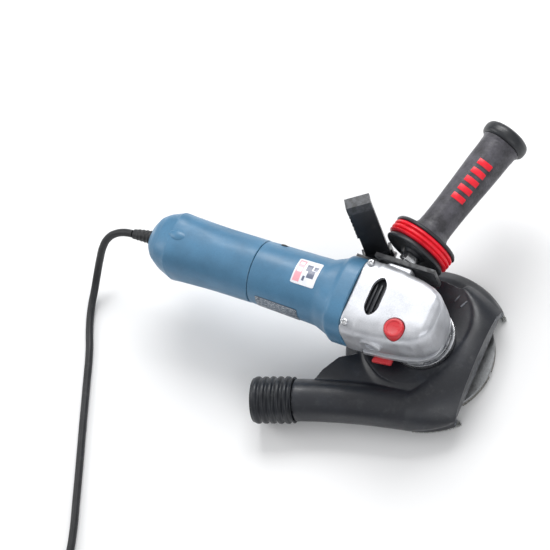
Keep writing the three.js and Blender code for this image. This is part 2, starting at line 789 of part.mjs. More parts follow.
function hoodBody() {
  const bell = turned(
    [
      [0, hoodLow], [hoodR, hoodLow], [hoodR - 0.5, 18], [76, 26], [66, 35], [52, 40.5], [44, hoodTop],
      [collarR, hoodTop], [collarR, 51], [0, 51],
    ],
    44,
  );
  const inside = turned(
    [
      [0, 0], [hoodR - 5, 0], [hoodR - 5, 14], [71, 24], [62, 32], [49, 37.5], [44, hoodTop - hoodWall],
      [0, hoodTop - hoodWall],
    ],
    44,
  );
  const plateEdge = [...channelEdge, ...backEdge].map(([a, r]) => {
    const p = onCircle(r, a);
    return new THREE.Vector2(p.x, p.y);
  });
  const plateCurve = new THREE.SplineCurve([...plateEdge, plateEdge[0]]);
  const plateShape = new THREE.Shape().setFromPoints(plateCurve.getPoints(30));
  const top = new THREE.ExtrudeGeometry(plateShape, { depth: 4, bevelEnabled: false });
  top.translate(0, 0, hoodTop - 4);
  const shell = join(
    bell,
    top,
    loft(channelRings(0)),
    loft(ductRings(0, -0.02, 1)),
    slab([[-20, -60], [-50, -30], [-70, -41], [-80, -58], [-84, -72], [-60, -70]], 28, 37), // web to the duct
  );
  const behindFront = block(-200, chordX - hoodWall, -200, 200, -10, 100);
  const hollow = join(
    common(inside, behindFront),
    common(loft(channelRings(ductWall)), behindFront),
    loft(ductRings(ductWall, -0.05, 1.05)),
    disc(neckR + 0.6, 30, 60, 40),
  );
  return cut(
    common(shell, block(-200, chordX, -200, 200, hoodLow, 100)),
    hollow,
    block(chordX - hoodWall - 1, 200, -200, 200, -10, 24), // open front, so the wheel reaches a wall
  );
}

const brushRing = () =>
  cut(ring(hoodR - 4.7, hoodR - 0.5, 0, hoodLow - gap, 44), block(chordX - 1, 200, -200, 200, -10, 50));

function clampBand() {
  const band = ring(collarR + 0.4, collarR + 3.4, 43, 49.4, 32);
  const ears = [block(-8, -5, 30.8, 40, 43, 49.4), block(-1, 2, 30.8, 40, 43, 49.4)];
  const split = block(-5, -1, 20, 50, 40, 52);
  return cut(join(band, ...ears), split, discX(2.4, -10, 4, 16).translate(0, 36.5, 46.2));
}

function hoseCuff() {
  const profile = [[19, 0.4], [22, 0.4]];
  for (let i = 0; i < 5; i++) {
    const z = 2.4 + i * 7.2;
    profile.push([20.6, z], [20.6, z + 1.8], [22.4, z + 3.4], [22.4, z + 5.6]);
  }
  profile.push([21, cuffLength - 1], [21, cuffLength], [19, cuffLength]);
  const cuff = turned(profile, 20).rotateY(Math.PI / 2);
  cuff.rotateZ(Math.atan2(ductAim.y, ductAim.x));
  return cuff.translate(ductEnd.x, ductEnd.y, ductEnd.z);
}

// Black lever standing on the bracket beside the gear head.
function buildClampLever() {
  const lever = new THREE.Group();
  lever.applyMatrix4(leverMatrix);
  tool.add(lever);
  const teeth = [30, 36, 42, 48, 54, 60].map((z) => block(-12.6, -10.5, -2.5, 2.5, z, z + 3));
  const body = join(
    block(-11, 11, -3.2, 3.2, 3, 80),
    discX(4.4, -11, 11, 20),
    block(-12, 11.5, -7, 4.5, 76, 80.5),
    block(-12, 11.5, -7, -4, 70, 78),
    ...teeth,
  );
  piece("clamp_lever", cut(body, discX(2.3, -14, 14, 16)), "black", lever);
}

// ---------- power cord ----------
const coilCentre = V(-190, -362, 0); // from the spindle axis
const coilMiddleR = 42;

function buildCord() {
  const floor = cordR + 0.15;
  const route = [
    V(-299, -1.1, 74),
    V(-309, -1.8, 71.8),
    V(-319.3, -4.2, 67.2),
    V(-328.2, -8.6, 59.4),
    V(-334.3, -14.8, 48.5),
    V(-338, -23, 35.5),
    V(-340, -34, 22.5),
    V(-340, -47.5, 12),
    V(-338, -63, 6),
    V(-331.5, -82, floor),
    V(-320.5, -105, floor),
    V(-306.5, -140.5, floor),
    V(-292.6, -176.5, floor),
    V(-278.7, -212, floor),
    V(-264.8, -248, floor),
    V(-253.5, -278, floor),
    V(-247, -300, floor),
    V(-244, -321, floor),
    V(-243.5, -343, floor),
  ];
  piece("cord", bar(route, cordR, 10, 34), "rubber");
  const across = 2 * cordR;
  piece(
    "cord_coil",
    turned([
      [coilMiddleR - 1.5 * across, 0],
      [coilMiddleR + 1.5 * across, 0],
      [coilMiddleR + 1.5 * across, 2 * across],
      [coilMiddleR + across, 3 * across],
      [coilMiddleR - across, 3 * across],
      [coilMiddleR - 1.5 * across, 2 * across],
    ], 32).translate(coilCentre.x, coilCentre.y, 0),
    "rubber",
  );
  buildPlug();
}

// Round two-pin plug lying on the floor beside the coil.
function buildPlug() {
  const plug = new THREE.Group();
  plug.position.set(coilCentre.x + 75, coilCentre.y + 10, 18.5);
  plug.rotation.z = rad(60);
  tool.add(plug);
  piece(
    "plug_body",
    turnedX([[0, -38], [5, -38], [6.5, -20], [12, -12], [18, -2], [18.5, 0], [18.5, 17], [0, 17]], 28),
    "rubber",
    plug,
  );
  for (const [side, name] of [[1, "left"], [-1, "right"]]) {
    const pin = turnedX([[0, 17.3], [2.4, 17.3], [2.4, 34], [1.4, 36], [0, 36]], 14);
    piece("plug_pin_" + name, pin.translate(0, 9.5 * side, 0), "steel", plug);
  }
}

function buildHood() {
  piece("hood_body", hoodBody(), "hoodBlack");
  piece("brush_ring", brushRing(), "bristle");
  piece("clamp_band", clampBand(), "steel");
  const bolt = join(discX(2, -11, 4, 14), discX(4, -11.5, -8.3, 6), discX(4, 2.3, 5, 6));
  piece("clamp_band_screw", bolt.translate([0, 36.5, 46.2]), "steel");
  piece("hose_cuff", hoseCuff(), "rubber");
}

buildMotor();
buildArmature();
buildHead();
buildSpindle();
buildControls();
buildHandle();
buildClampLever();
buildHood();
buildCord();

export default grinder;
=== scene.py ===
"""Looks of a hand-held concrete grinder: a small angle grinder with a dust hood over its cup wheel.

Lengths in the builders are millimetres in the tool's own frame, which has its origin on the floor
under the spindle axis, +X towards the gear head, +Y towards the side handle and +Z up.
"""

import math
import random

import bmesh
import bpy
from mathutils import Matrix, Vector
from mathutils.geometry import interpolate_bezier


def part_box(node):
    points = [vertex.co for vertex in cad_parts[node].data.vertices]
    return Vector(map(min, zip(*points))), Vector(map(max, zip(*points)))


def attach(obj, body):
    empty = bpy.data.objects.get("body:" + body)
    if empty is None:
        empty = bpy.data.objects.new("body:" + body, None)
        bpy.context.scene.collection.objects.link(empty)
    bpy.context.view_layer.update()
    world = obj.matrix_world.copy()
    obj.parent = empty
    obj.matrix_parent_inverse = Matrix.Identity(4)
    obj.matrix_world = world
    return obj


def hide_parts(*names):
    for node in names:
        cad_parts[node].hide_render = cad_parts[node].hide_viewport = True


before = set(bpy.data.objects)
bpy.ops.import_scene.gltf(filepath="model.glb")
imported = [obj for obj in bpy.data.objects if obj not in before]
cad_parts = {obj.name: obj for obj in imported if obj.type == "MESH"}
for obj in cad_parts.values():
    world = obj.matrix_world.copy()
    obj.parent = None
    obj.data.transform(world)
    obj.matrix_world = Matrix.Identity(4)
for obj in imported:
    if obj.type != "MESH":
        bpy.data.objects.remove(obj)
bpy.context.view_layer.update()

MM = 0.001
shaft_low, shaft_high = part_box("spindle_shaft")
SPINDLE = (shaft_low + shaft_high) / 2
SPINDLE.z = 0

# ---------- dimensions shared by several pieces ----------
MOTOR_Z = 81
SEAM_X = -159
HEAD_TOP = 112
HEAD_BOTTOM = 62
HOOD_TOP = 42
HOOD_LOW = 4.5
CHORD_X = 55  # flat front of the hood
HOOD_WALL = 3
BRISTLE_MIDDLE = 76.4  # radius of the middle of the brush
BRISTLE_REACH = 78.4
LOCK = (-5.3, -22.5)
DUCT_END = Vector((-96, -91, 24.5))
DUCT_AIM = Vector((-0.945, -0.327, 0)).normalized()
HANDLE_FOOT = Vector((-27.5, 46.3, 90.5))
HANDLE_LEAN = math.radians(15)
CORD_R = 3.75


# ---------- frames ----------
def at(point):
    """A point of the tool's frame, in the row frame."""
    return Vector((point[0] * MM + SPINDLE.x, point[1] * MM + SPINDLE.y, point[2] * MM))


def basis(origin, x, y, z):
    """The matrix that takes a piece's own axes to these ones, in the tool's frame."""
    turn = Matrix((x, y, z)).transposed().to_4x4()
    return Matrix.Translation(origin) @ turn


def about(axis, origin=(0, 0, 0)):
    """A frame whose own +Z lies along axis."""
    z = Vector(axis).normalized()
    side = Vector((0, 1, 0)) if abs(z.y) < 0.9 else Vector((1, 0, 0))
    x = side.cross(z).normalized()
    return basis(Vector(origin), x, z.cross(x), z)


HANDLE = about((math.sin(HANDLE_LEAN), math.cos(HANDLE_LEAN), 0), HANDLE_FOOT)
lever_across = Vector((0.82, 0.57, 0)).normalized()
lever_face = Vector((0, 0.26, 0.966)).cross(lever_across).normalized()
LEVER = basis(
    Vector((-64.5, 56.8, 71.2)), lever_across, lever_face, lever_across.cross(lever_face).normalized()
)
LEVER_PIN = LEVER @ Matrix.Rotation(math.pi / 2, 4, "Y")


# ---------- materials ----------
class Look:
    """One node material, put together step by step."""

    def __init__(self, name, rough=0.5, metal=0.0, specular=0.5, coat=0.0, sheen=0.0):
        self.material = bpy.data.materials.new(name)
        self.material.use_nodes = True
        self.tree = self.material.node_tree
        self.shader = self.tree.nodes["Principled BSDF"]
        self.set(self.shader, "Roughness", rough)
        self.set(self.shader, "Metallic", metal)
        self.set(self.shader, "Specular IOR Level", specular)
        self.set(self.shader, "Coat Weight", coat)
        self.set(self.shader, "Coat Roughness", 0.1)
        self.set(self.shader, "Sheen Weight", sheen)
        self.place = self.tree.nodes.new("ShaderNodeTexCoord").outputs["Object"]

    def set(self, node, socket, value):
        if hasattr(value, "is_output"):
            self.tree.links.new(value, node.inputs[socket])
        else:
            node.inputs[socket].default_value = value

    def node(self, kind, output, settings=(), **sockets):
        made = self.tree.nodes.new(kind)
        for name, value in dict(settings).items():
            setattr(made, name, value)
        for name, value in sockets.items():
            self.set(made, name.replace("_", " ") if isinstance(name, str) else name, value)
        return made.outputs[output]

    def noise(self, scale, detail=4.0, rough=0.55, stretch=None):
        place = self.place
        if stretch:
            place = self.node("ShaderNodeMapping", "Vector", Vector=self.place, Scale=stretch)
        return self.node(
            "ShaderNodeTexNoise", "Fac", Vector=place, Scale=scale, Detail=detail, Roughness=rough
        )

    def cells(self, scale):
        return self.node("ShaderNodeTexVoronoi", "Distance", Vector=self.place, Scale=scale)

    def levels(self, value, low, high, to_low=0.0, to_high=1.0):
        made = self.tree.nodes.new("ShaderNodeMapRange")
        made.interpolation_type = "SMOOTHSTEP"
        limits = {"From Min": low, "From Max": high, "To Min": to_low, "To Max": to_high}
        for socket, number in limits.items():
            made.inputs[socket].default_value = number
        self.set(made, "Value", value)
        return made.outputs["Result"]

    def maths(self, operation, a, b=0.0):
        made = self.tree.nodes.new("ShaderNodeMath")
        made.operation = operation
        self.set(made, 0, a)
        self.set(made, 1, b)
        return made.outputs[0]

    def mix(self, share, a, b):
        made = self.tree.nodes.new("ShaderNodeMix")
        made.data_type = "RGBA"
        self.set(made, 0, share)
        for socket, colour in ((6, a), (7, b)):
            self.set(made, socket, colour if hasattr(colour, "is_output") else (*colour, 1.0))
        return made.outputs[2]

    def ramp(self, value, stops):
        made = self.tree.nodes.new("ShaderNodeValToRGB")
        bar = made.color_ramp
        while len(bar.elements) < len(stops):
            bar.elements.new(0.5)
        for element, (position, colour) in zip(bar.elements, stops):
            element.position = position
            element.color = (*colour, 1.0)
        self.set(made, "Fac", value)
        return made.outputs["Color"]

    def bump(self, height, distance, strength=1.0, under=None):
        made = self.tree.nodes.new("ShaderNodeBump")
        self.set(made, "Height", height)
        self.set(made, "Distance", distance)
        self.set(made, "Strength", strength)
        if under is not None:
            self.set(made, "Normal", under)
        return made.outputs["Normal"]

    def edges(self, low=0.53, high=0.62):
        """Share of wear on the outer edges."""
        pointy = self.tree.nodes.new("ShaderNodeNewGeometry").outputs["Pointiness"]
        broken = self.levels(self.noise(220, 5, 0.6), 0.38, 0.62)
        return self.maths("MULTIPLY", self.levels(pointy, low, high), broken)

    def finish(self, colour, rough=None, normal=None):
        self.set(self.shader, "Base Color", colour)
        if rough is not None:
            self.set(self.shader, "Roughness", rough)
        if normal is not None:
            self.set(self.shader, "Normal", normal)
        return self.material


def scaled(colour, k):
    return tuple(min(1.0, c * k) for c in colour)


def plastic(name, colour, rough=0.45, texture=1500, depth=0.00006, wear=None, specular=0.5, dust=0.0):
    """Moulded plastic: fine spark-eroded grain, slight mottling, handling marks, and pale worn edges."""
    look = Look(name, specular=specular)
    mottled = look.ramp(
        look.noise(38, 5, 0.6),
        [(0.3, scaled(colour, 0.86)), (0.5, colour), (0.72, scaled(colour, 1.13))],
    )
    shade = look.mix(look.levels(look.noise(700, 3), 0.35, 0.7, 0.0, 0.22), mottled, scaled(colour, 0.7))
    if dust:
        lying = look.levels(look.noise(55, 6, 0.65), 0.52, 0.78, 0.0, dust)
        shade = look.mix(lying, shade, (0.46, 0.45, 0.43))
    if wear:
        shade = look.mix(look.edges(), shade, wear)
    scuffs = look.levels(look.noise(26, 6, 0.7, (1, 3, 1)), 0.4, 0.66, rough - 0.07, rough + 0.1)
    grain = look.bump(look.noise(texture, 2, 0.5), depth, 0.5)
    return look.finish(shade, scuffs, grain)


def rubber(name, colour, rough, dust):
    look = Look(name, specular=0.4)
    mottled = look.ramp(look.noise(60, 5), [(0.3, scaled(colour, 0.8)), (0.7, scaled(colour, 1.25))])
    lying = look.levels(look.noise(90, 6, 0.7), 0.5, 0.8, 0.0, dust)
    shade = look.mix(lying, mottled, (0.36, 0.36, 0.37))
    grain = look.bump(look.noise(900, 3, 0.6), 0.00012, 0.5)
    return look.finish(shade, look.levels(look.noise(45, 5), 0.3, 0.7, rough - 0.1, rough + 0.1), grain)


def metal(name, colour, rough=0.3, brushed=(1, 1, 30), stain=(0.3, 0.28, 0.26), stained=0.25):
    """Machined steel: fine turned lines, darker handling stains and uneven polish."""
    look = Look(name, metal=1.0)
    lines = look.noise(260, 3, 0.5, brushed)
    shade = look.ramp(lines, [(0.35, scaled(colour, 0.82)), (0.65, scaled(colour, 1.1))])
    spots = look.levels(look.noise(70, 6, 0.7), 0.55, 0.75, 0.0, stained)
    shade = look.mix(spots, shade, stain)
    polish = look.levels(look.noise(120, 5), 0.3, 0.7, rough - 0.08, rough + 0.14)
    return look.finish(shade, polish, look.bump(lines, 0.00005, 0.35))


def cast_metal(name):
    """Die-cast aluminium, shot-blasted: bright fine speckle, flow mottling, patches of dull dirt."""
    look = Look(name, metal=0.72, specular=0.5)
    flow = look.ramp(
        look.noise(24, 6, 0.62),
        [(0.3, (0.44, 0.455, 0.49)), (0.52, (0.56, 0.575, 0.61)), (0.75, (0.66, 0.67, 0.70))],
    )
    speckle = look.levels(look.noise(1300, 2), 0.42, 0.68, 0.0, 0.3)
    shade = look.mix(speckle, flow, (0.80, 0.81, 0.84))
    grime = look.levels(look.noise(85, 6, 0.7), 0.56, 0.74, 0.0, 0.3)
    shade = look.mix(grime, shade, (0.30, 0.30, 0.31))
    shade = look.mix(look.edges(0.52, 0.6), shade, (0.93, 0.94, 0.95))
    blasted = look.bump(look.noise(1600, 2), 0.00009, 0.55)
    pitted = look.bump(look.noise(210, 4), 0.00018, 0.3, blasted)
    return look.finish(shade, look.levels(look.noise(60, 5), 0.3, 0.7, 0.34, 0.52), pitted)


def hood_plastic(name):
    """Near-black glass-filled plastic: blue-grey bloom, rubbed crests, fine scratches, concrete dust."""
    base = (0.013, 0.015, 0.021)
    look = Look(name, specular=0.55)
    shade = look.ramp(
        look.noise(30, 6, 0.62), [(0.3, scaled(base, 0.75)), (0.55, base), (0.78, (0.026, 0.031, 0.043))]
    )
    scratches = look.levels(look.noise(300, 2, 0.5, (1, 14, 6)), 0.66, 0.74, 0.0, 0.35)
    shade = look.mix(scratches, shade, (0.11, 0.12, 0.135))
    dust = look.levels(look.noise(75, 7, 0.7), 0.52, 0.8, 0.0, 0.09)
    shade = look.mix(dust, shade, (0.34, 0.34, 0.34))
    shade = look.mix(look.edges(0.52, 0.60), shade, (0.22, 0.24, 0.27))
    rough = look.levels(look.noise(40, 6, 0.65), 0.35, 0.7, 0.3, 0.5)
    return look.finish(shade, rough, look.bump(look.noise(1100, 3, 0.6), 0.00009, 0.45))


def grip_rubber(name):
    """Soft dark-grey elastomer with a fine lozenge knurl and a soft sheen."""
    look = Look(name, specular=0.45, sheen=0.25)
    base = (0.050, 0.048, 0.058)
    shade = look.ramp(look.noise(60, 6, 0.7), [(0.34, scaled(base, 0.4)), (0.66, scaled(base, 1.7))])
    dust = look.levels(look.noise(70, 6, 0.7), 0.5, 0.8, 0.0, 0.10)
    shade = look.mix(dust, shade, (0.34, 0.34, 0.36))
    knurl = look.bump(look.cells(430), 0.0004, 0.45)
    fine = look.bump(look.noise(1500, 2), 0.00008, 0.4, knurl)
    return look.finish(shade, look.levels(look.noise(50, 5), 0.3, 0.7, 0.42, 0.6), fine)


def grit(name):
    """Diamond grit in a sintered binder."""
    look = Look(name, metal=0.35)
    grains = look.cells(900)
    shade = look.ramp(
        grains, [(0.1, (0.50, 0.48, 0.42)), (0.4, (0.22, 0.21, 0.19)), (0.7, (0.10, 0.10, 0.095))]
    # Tufts of bristles round the hood, open at the cut front.
    )
    dust = look.levels(look.noise(120, 6, 0.7), 0.45, 0.75, 0.0, 0.5)
    shade = look.mix(dust, shade, (0.52, 0.51, 0.49))
    return look.finish(shade, look.levels(grains, 0.1, 0.6, 0.35, 0.85), look.bump(grains, 0.0005, 0.8))


def bristle(name):
    """Grey-green nylon bristles, each a little different, chalky with dust in patches."""
    look = Look(name, specular=0.4, sheen=0.2)
    shade = look.ramp(
        look.noise(420, 3, 0.6),
        [(0.32, (0.055, 0.062, 0.056)), (0.55, (0.13, 0.145, 0.13)), (0.75, (0.27, 0.28, 0.26))],
    )
    dust = look.levels(look.noise(60, 5), 0.5, 0.75, 0.0, 0.4)
    return look.finish(
        look.mix(dust, shade, (0.50, 0.49, 0.47)),
        look.levels(look.noise(200, 3), 0.3, 0.7, 0.5, 0.75),
        look.bump(look.noise(2200, 2), 0.00005, 0.5),
    )


def wound_copper(name):
    look = Look(name, metal=0.9, coat=0.4)
    strands = look.noise(900, 2, 0.5, (1, 6, 6))
    shade = look.ramp(strands, [(0.35, (0.30, 0.11, 0.05)), (0.65, (0.66, 0.30, 0.15))])
    return look.finish(shade, look.levels(strands, 0.3, 0.7, 0.25, 0.45), look.bump(strands, 0.0003, 0.8))


def laminated(name):
    look = Look(name, metal=0.7)
    sheets = look.node(
        "ShaderNodeTexWave", "Fac", {"bands_direction": "X"}, Vector=look.place, Scale=320.0, Distortion=0.3
    )
    shade = look.ramp(sheets, [(0.2, (0.05, 0.05, 0.055)), (0.8, (0.24, 0.24, 0.25))])
    rough = look.levels(look.noise(150), 0.3, 0.7, 0.4, 0.6)
    return look.finish(shade, rough, look.bump(sheets, 0.0002, 0.6))


def printed_label(name):
    """Gloss foil label: a tinted band with a paler field on the left and plain dark blocks on the right."""
    look = Look(name, rough=0.32, coat=0.35)
    across = look.node("ShaderNodeSeparateXYZ", "X", Vector=look.node("ShaderNodeUVMap", "UV"))
    along = across.node.outputs["Y"]

    def inside(value, low, high):
        above = look.levels(value, low - 0.012, low + 0.012)
        below = look.levels(value, high - 0.012, high + 0.012, 1.0, 0.0)
        return look.maths("MULTIPLY", above, below)

    def field(shade, x0, x1, y0, y1, colour):
        area = look.maths("MULTIPLY", inside(across, x0, x1), inside(along, y0, y1))
        return look.mix(area, shade, colour)

    paper = look.ramp(look.noise(140, 5), [(0.3, (0.72, 0.74, 0.80)), (0.7, (0.84, 0.86, 0.90))])
    shade = field(paper, 0.06, 0.34, 0.08, 0.93, (0.80, 0.36, 0.42))
    shade = field(shade, 0.11, 0.29, 0.44, 0.62, (0.86, 0.70, 0.74))
    shade = field(shade, 0.11, 0.29, 0.74, 0.87, (0.86, 0.80, 0.84))
    dark_fields = [
        (0.44, 0.68, 0.54, 0.80), (0.56, 0.86, 0.30, 0.60), (0.74, 0.92, 0.62, 0.78),
        (0.42, 0.52, 0.16, 0.34),
    ]
    for limits in dark_fields:
        shade = field(shade, *limits, (0.115, 0.135, 0.205))
    scratched = look.levels(look.noise(500, 3, 0.5, (6, 1, 1)), 0.63, 0.72, 0.0, 0.4)
    shade = look.mix(scratched, shade, (0.62, 0.64, 0.68))
    rough = look.levels(look.noise(80, 5), 0.3, 0.7, 0.25, 0.42)
    return look.finish(shade, rough, look.bump(look.noise(900), 0.00002, 0.4))


def ruled_plate(name):
    """Anodised data plate with thin ruled lines and no writing."""
    look = Look(name, metal=0.55)
    place = look.node("ShaderNodeUVMap", "UV")
    rows = look.node(
        "ShaderNodeTexWave", "Fac", {"bands_direction": "Y"}, Vector=place, Scale=2.9, Distortion=0.0
    )
    broken = look.node("ShaderNodeTexNoise", "Fac", Vector=place, Scale=17.0, Detail=2.0, Roughness=0.7)
    marks = look.maths("MULTIPLY", look.levels(rows, 0.45, 0.75), look.levels(broken, 0.47, 0.56))
    ground = look.ramp(look.noise(200, 5), [(0.3, (0.10, 0.125, 0.16)), (0.7, (0.17, 0.20, 0.24))])
    shade = look.mix(marks, ground, (0.52, 0.56, 0.60))
    rough = look.levels(look.noise(70, 4), 0.3, 0.7, 0.35, 0.5)
    return look.finish(shade, rough, look.bump(marks, 0.00003, 0.5))


LOOKS = {
    "blue_shell": plastic("blue_shell", (0.066, 0.186, 0.315), 0.42, 1500, 0.00007, (0.20, 0.36, 0.48)),
    "cast_alloy": cast_metal("cast_alloy"),
    "bright_steel": metal("bright_steel", (0.62, 0.63, 0.65), 0.26),
    "wheel_steel": metal("wheel_steel", (0.36, 0.37, 0.38), 0.42, (4, 4, 1), (0.12, 0.11, 0.10), 0.5),
    "diamond": grit("diamond"),
    "laminated_steel": laminated("laminated_steel"),
    "copper": wound_copper("copper"),
    "brass": metal("brass", (0.68, 0.52, 0.24), 0.3),
    "carbon": plastic("carbon", (0.035, 0.035, 0.038), 0.6, 700, 0.0002),
    "black_plastic": plastic(
        "black_plastic", (0.020, 0.022, 0.026), 0.42, 1300, 0.00007, (0.06, 0.065, 0.075), 0.5, 0.07
    ),
    "fan_plastic": plastic("fan_plastic", (0.52, 0.52, 0.50), 0.5, 900, 0.00006, None, 0.5, 0.4),
    "red_plastic": plastic("red_plastic", (0.60, 0.030, 0.040), 0.32, 1500, 0.00004, (0.75, 0.24, 0.22)),
    "red_rubber": rubber("red_rubber", (0.80, 0.012, 0.030), 0.42, 0.08),
    "grip_rubber": grip_rubber("grip_rubber"),
    "bracket_steel": plastic(
        "bracket_steel", (0.016, 0.017, 0.020), 0.36, 500, 0.00010, (0.11, 0.115, 0.12), 0.6, 0.06
    ),
    "hood_plastic": hood_plastic("hood_plastic"),
    "bristle": bristle("bristle"),
    "cuff_rubber": rubber("cuff_rubber", (0.012, 0.014, 0.018), 0.40, 0.10),
    "cord_rubber": rubber("cord_rubber", (0.016, 0.017, 0.019), 0.50, 0.10),
    "label": printed_label("label"),
    "plate": ruled_plate("plate"),
}


# ---------- mesh helpers ----------
def outward(mesh):
    """The mesh itself, with doubled points joined and its faces turned outward."""
    bm = bmesh.new()
    bm.from_mesh(mesh)
    bmesh.ops.remove_doubles(bm, verts=bm.verts, dist=2e-6)
    bmesh.ops.recalc_face_normals(bm, faces=bm.faces)
    bm.to_mesh(mesh)
    bm.free()
    return mesh


def finished(name, mesh, slot, body, replaces=(), sharp=32):
    """A mesh as a piece: its look, its shading, the body it rides on and the CAD nodes it stands for."""
    outward(mesh)
    mesh.materials.clear()
    mesh.materials.append(LOOKS[slot])
    mesh.shade_smooth()
    mesh.set_sharp_from_angle(angle=math.radians(sharp))
    piece = bpy.data.objects.new(name, mesh)
    bpy.context.scene.collection.objects.link(piece)
    if body:
        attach(piece, body)
        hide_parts(*replaces)
    return piece


def mesh_of(points, faces, frame_of=None):
    """Points in millimetres, in the tool's frame or in frame_of's, as a mesh in the row frame."""
    mesh = bpy.data.meshes.new("draft")
    if frame_of is not None:
        points = [frame_of @ Vector(p) for p in points]
    mesh.from_pydata([at(p) for p in points], [], faces)
    return mesh


def lofted(rings, frame_of=None, loop=False):
    """Quads through rings of equal point counts, with fanned ends unless the rings close on themselves."""
    n = len(rings[0])
    points = [p for ring in rings for p in ring]
    spans = len(rings) if loop else len(rings) - 1
    faces = []
    for i in range(spans):
        a, b = i * n, (i + 1) % len(rings) * n
        faces += [(a + j, a + (j + 1) % n, b + (j + 1) % n, b + j) for j in range(n)]
    if not loop:
        for start, ring in ((0, rings[0]), ((len(rings) - 1) * n, rings[-1])):
            middle = sum((Vector(p) for p in ring), Vector()) / n
            points.append(middle)
            faces += [(start + j, start + (j + 1) % n, len(points) - 1) for j in range(n)]
    return mesh_of(points, faces, frame_of)


def corner_arc(before, corner, after, radius, share, steps):
    """The points of an arc in place of a corner, reaching at most a share of the way along each side."""
    before, corner, after = Vector(before), Vector(corner), Vector(after)
    r = min(radius, (before - corner).length * share, (after - corner).length * share)
    start = corner + (before - corner).normalized() * r
    end = corner + (after - corner).normalized() * r
    return [
        start * (1 - t) ** 2 + corner * 2 * t * (1 - t) + end * t * t
        for t in (i / steps for i in range(steps + 1))
    ]


def rounded(profile, radius=0.6):
    """The profile with each inner corner replaced by a small arc, as moulding and turning leave it."""
    made = [Vector(profile[0])]
    for before, corner, after in zip(profile, profile[1:], profile[2:]):
        made += corner_arc(before, corner, after, radius, 0.45, 3)
    made.append(Vector(profile[-1]))
    return made


def around(count):
    """The angles of one full turn in equal steps."""
    return [2 * math.pi * i / count for i in range(count)]


def turned(profile, frame_of=None, segments=72, radius=0.6):
    """A turned solid about its frame's +Z from [radius, height]; a profile off the axis is a closed ring."""
    closed = profile[0][0] > 0
    line = rounded([*profile, profile[0], profile[1]] if closed else profile, radius)
    if closed:
        line = line[1:-1]
    rings = [[(r * math.cos(a), r * math.sin(a), h) for a in around(segments)] for r, h in line]
    return lofted(rings, frame_of, loop=closed)


def rod(r, low, high, frame_of=None, segments=72, radius=0.6):
    """A plain cylinder between two heights, with its rims rounded by radius."""
    return turned([(0, low), (r, low), (r, high), (0, high)], frame_of, segments, radius)


def slab(outline, low, high, frame_of=None):
    """An upright solid over a polygon."""
    n = len(outline)
    points = [(x, y, low) for x, y in outline] + [(x, y, high) for x, y in outline]
    faces = [(j, (j + 1) % n, n + (j + 1) % n, n + j) for j in range(n)]
    faces += [tuple(range(n)), tuple(range(n, 2 * n))]
    return mesh_of(points, faces, frame_of)


def block(x0, x1, y0, y1, z0, z1, frame_of=None):
    return slab([(x0, y0), (x1, y0), (x1, y1), (x0, y1)], z0, z1, frame_of)


def rounded_outline(corners, radius):
    """A closed outline whose corners are arcs."""
    made = []
    for i, corner in enumerate(corners):
        after = corners[(i + 1) % len(corners)]
        made += [(p.x, p.y) for p in corner_arc(corners[i - 1], corner, after, radius, 0.48, 5)]
    return made


def hexagon(radius):
    """The outline of a nut."""
    return [(radius * math.cos(k * math.pi / 3), radius * math.sin(k * math.pi / 3)) for k in range(6)]


def squircle(x, half, low, high, power, count=96):
    """A ring in a plane of constant x: a circle that squares up as the power grows."""
    ring = []
    for a in around(count):
        c, s = math.cos(a), math.sin(a)
        y = half * math.copysign(abs(c) ** (2 / power), c)
        z = (low + high) / 2 + (high - low) / 2 * math.copysign(abs(s) ** (2 / power), s)
        ring.append((x, y, z))
    return ring


def eased(keys, step):
    """Sections between the given ones, without overshoot, about step apart along their first number."""
    slopes = [[(b[k] - a[k]) / (b[0] - a[0]) for k in range(len(a))] for a, b in zip(keys, keys[1:])]
    tangents = [slopes[0]]
    for s, t in zip(slopes, slopes[1:]):
        tangents.append([2 * p * q / (p + q) if p * q > 0 else 0.0 for p, q in zip(s, t)])
    tangents.append(slopes[-1])
    made = []
    for i, (a, b) in enumerate(zip(keys, keys[1:])):
        span = b[0] - a[0]
        count = max(1, round(abs(span) / step))
        for j in range(count):
            t = j / count
            weights = (
                2 * t**3 - 3 * t**2 + 1, t**3 - 2 * t**2 + t, 3 * t**2 - 2 * t**3, t**3 - t**2,
            )
            made.append([
                weights[0] * a[k] + weights[1] * span * tangents[i][k]
                + weights[2] * b[k] + weights[3] * span * tangents[i + 1][k]
                for k in range(len(a))
            ])
    made.append(list(keys[-1]))
    return made


def draft_object(mesh):
    made = bpy.data.objects.new("draft", mesh)
    bpy.context.scene.collection.objects.link(made)
    return made


def evaluated(thing):
    """The mesh of an object with its modifiers, and the object thrown away."""
    bpy.context.view_layer.update()
    made = bpy.data.meshes.new_from_object(thing.evaluated_get(bpy.context.evaluated_depsgraph_get()))
    bpy.data.objects.remove(thing)
    return made


def merged(meshes):
    """Several meshes in one, without joining their surfaces."""
    bm = bmesh.new()
    for mesh in meshes:
        bm.from_mesh(mesh)
    made = bpy.data.meshes.new("merged")
    bm.to_mesh(made)
    bm.free()
    return made


def combined(base, tools, operation="DIFFERENCE"):
    thing = draft_object(outward(base))
    drafts = [draft_object(outward(tool)) for tool in tools]
    for tool in drafts:
        step = thing.modifiers.new("combine", "BOOLEAN")
        step.object = tool
        step.operation = operation
        step.solver = "MANIFOLD"
    made = evaluated(thing)
    for tool in drafts:
        bpy.data.objects.remove(tool)
    return made


def cut(base, *tools):
    return combined(base, tools)


def joined(base, *tools):
    return combined(base, tools, "UNION")


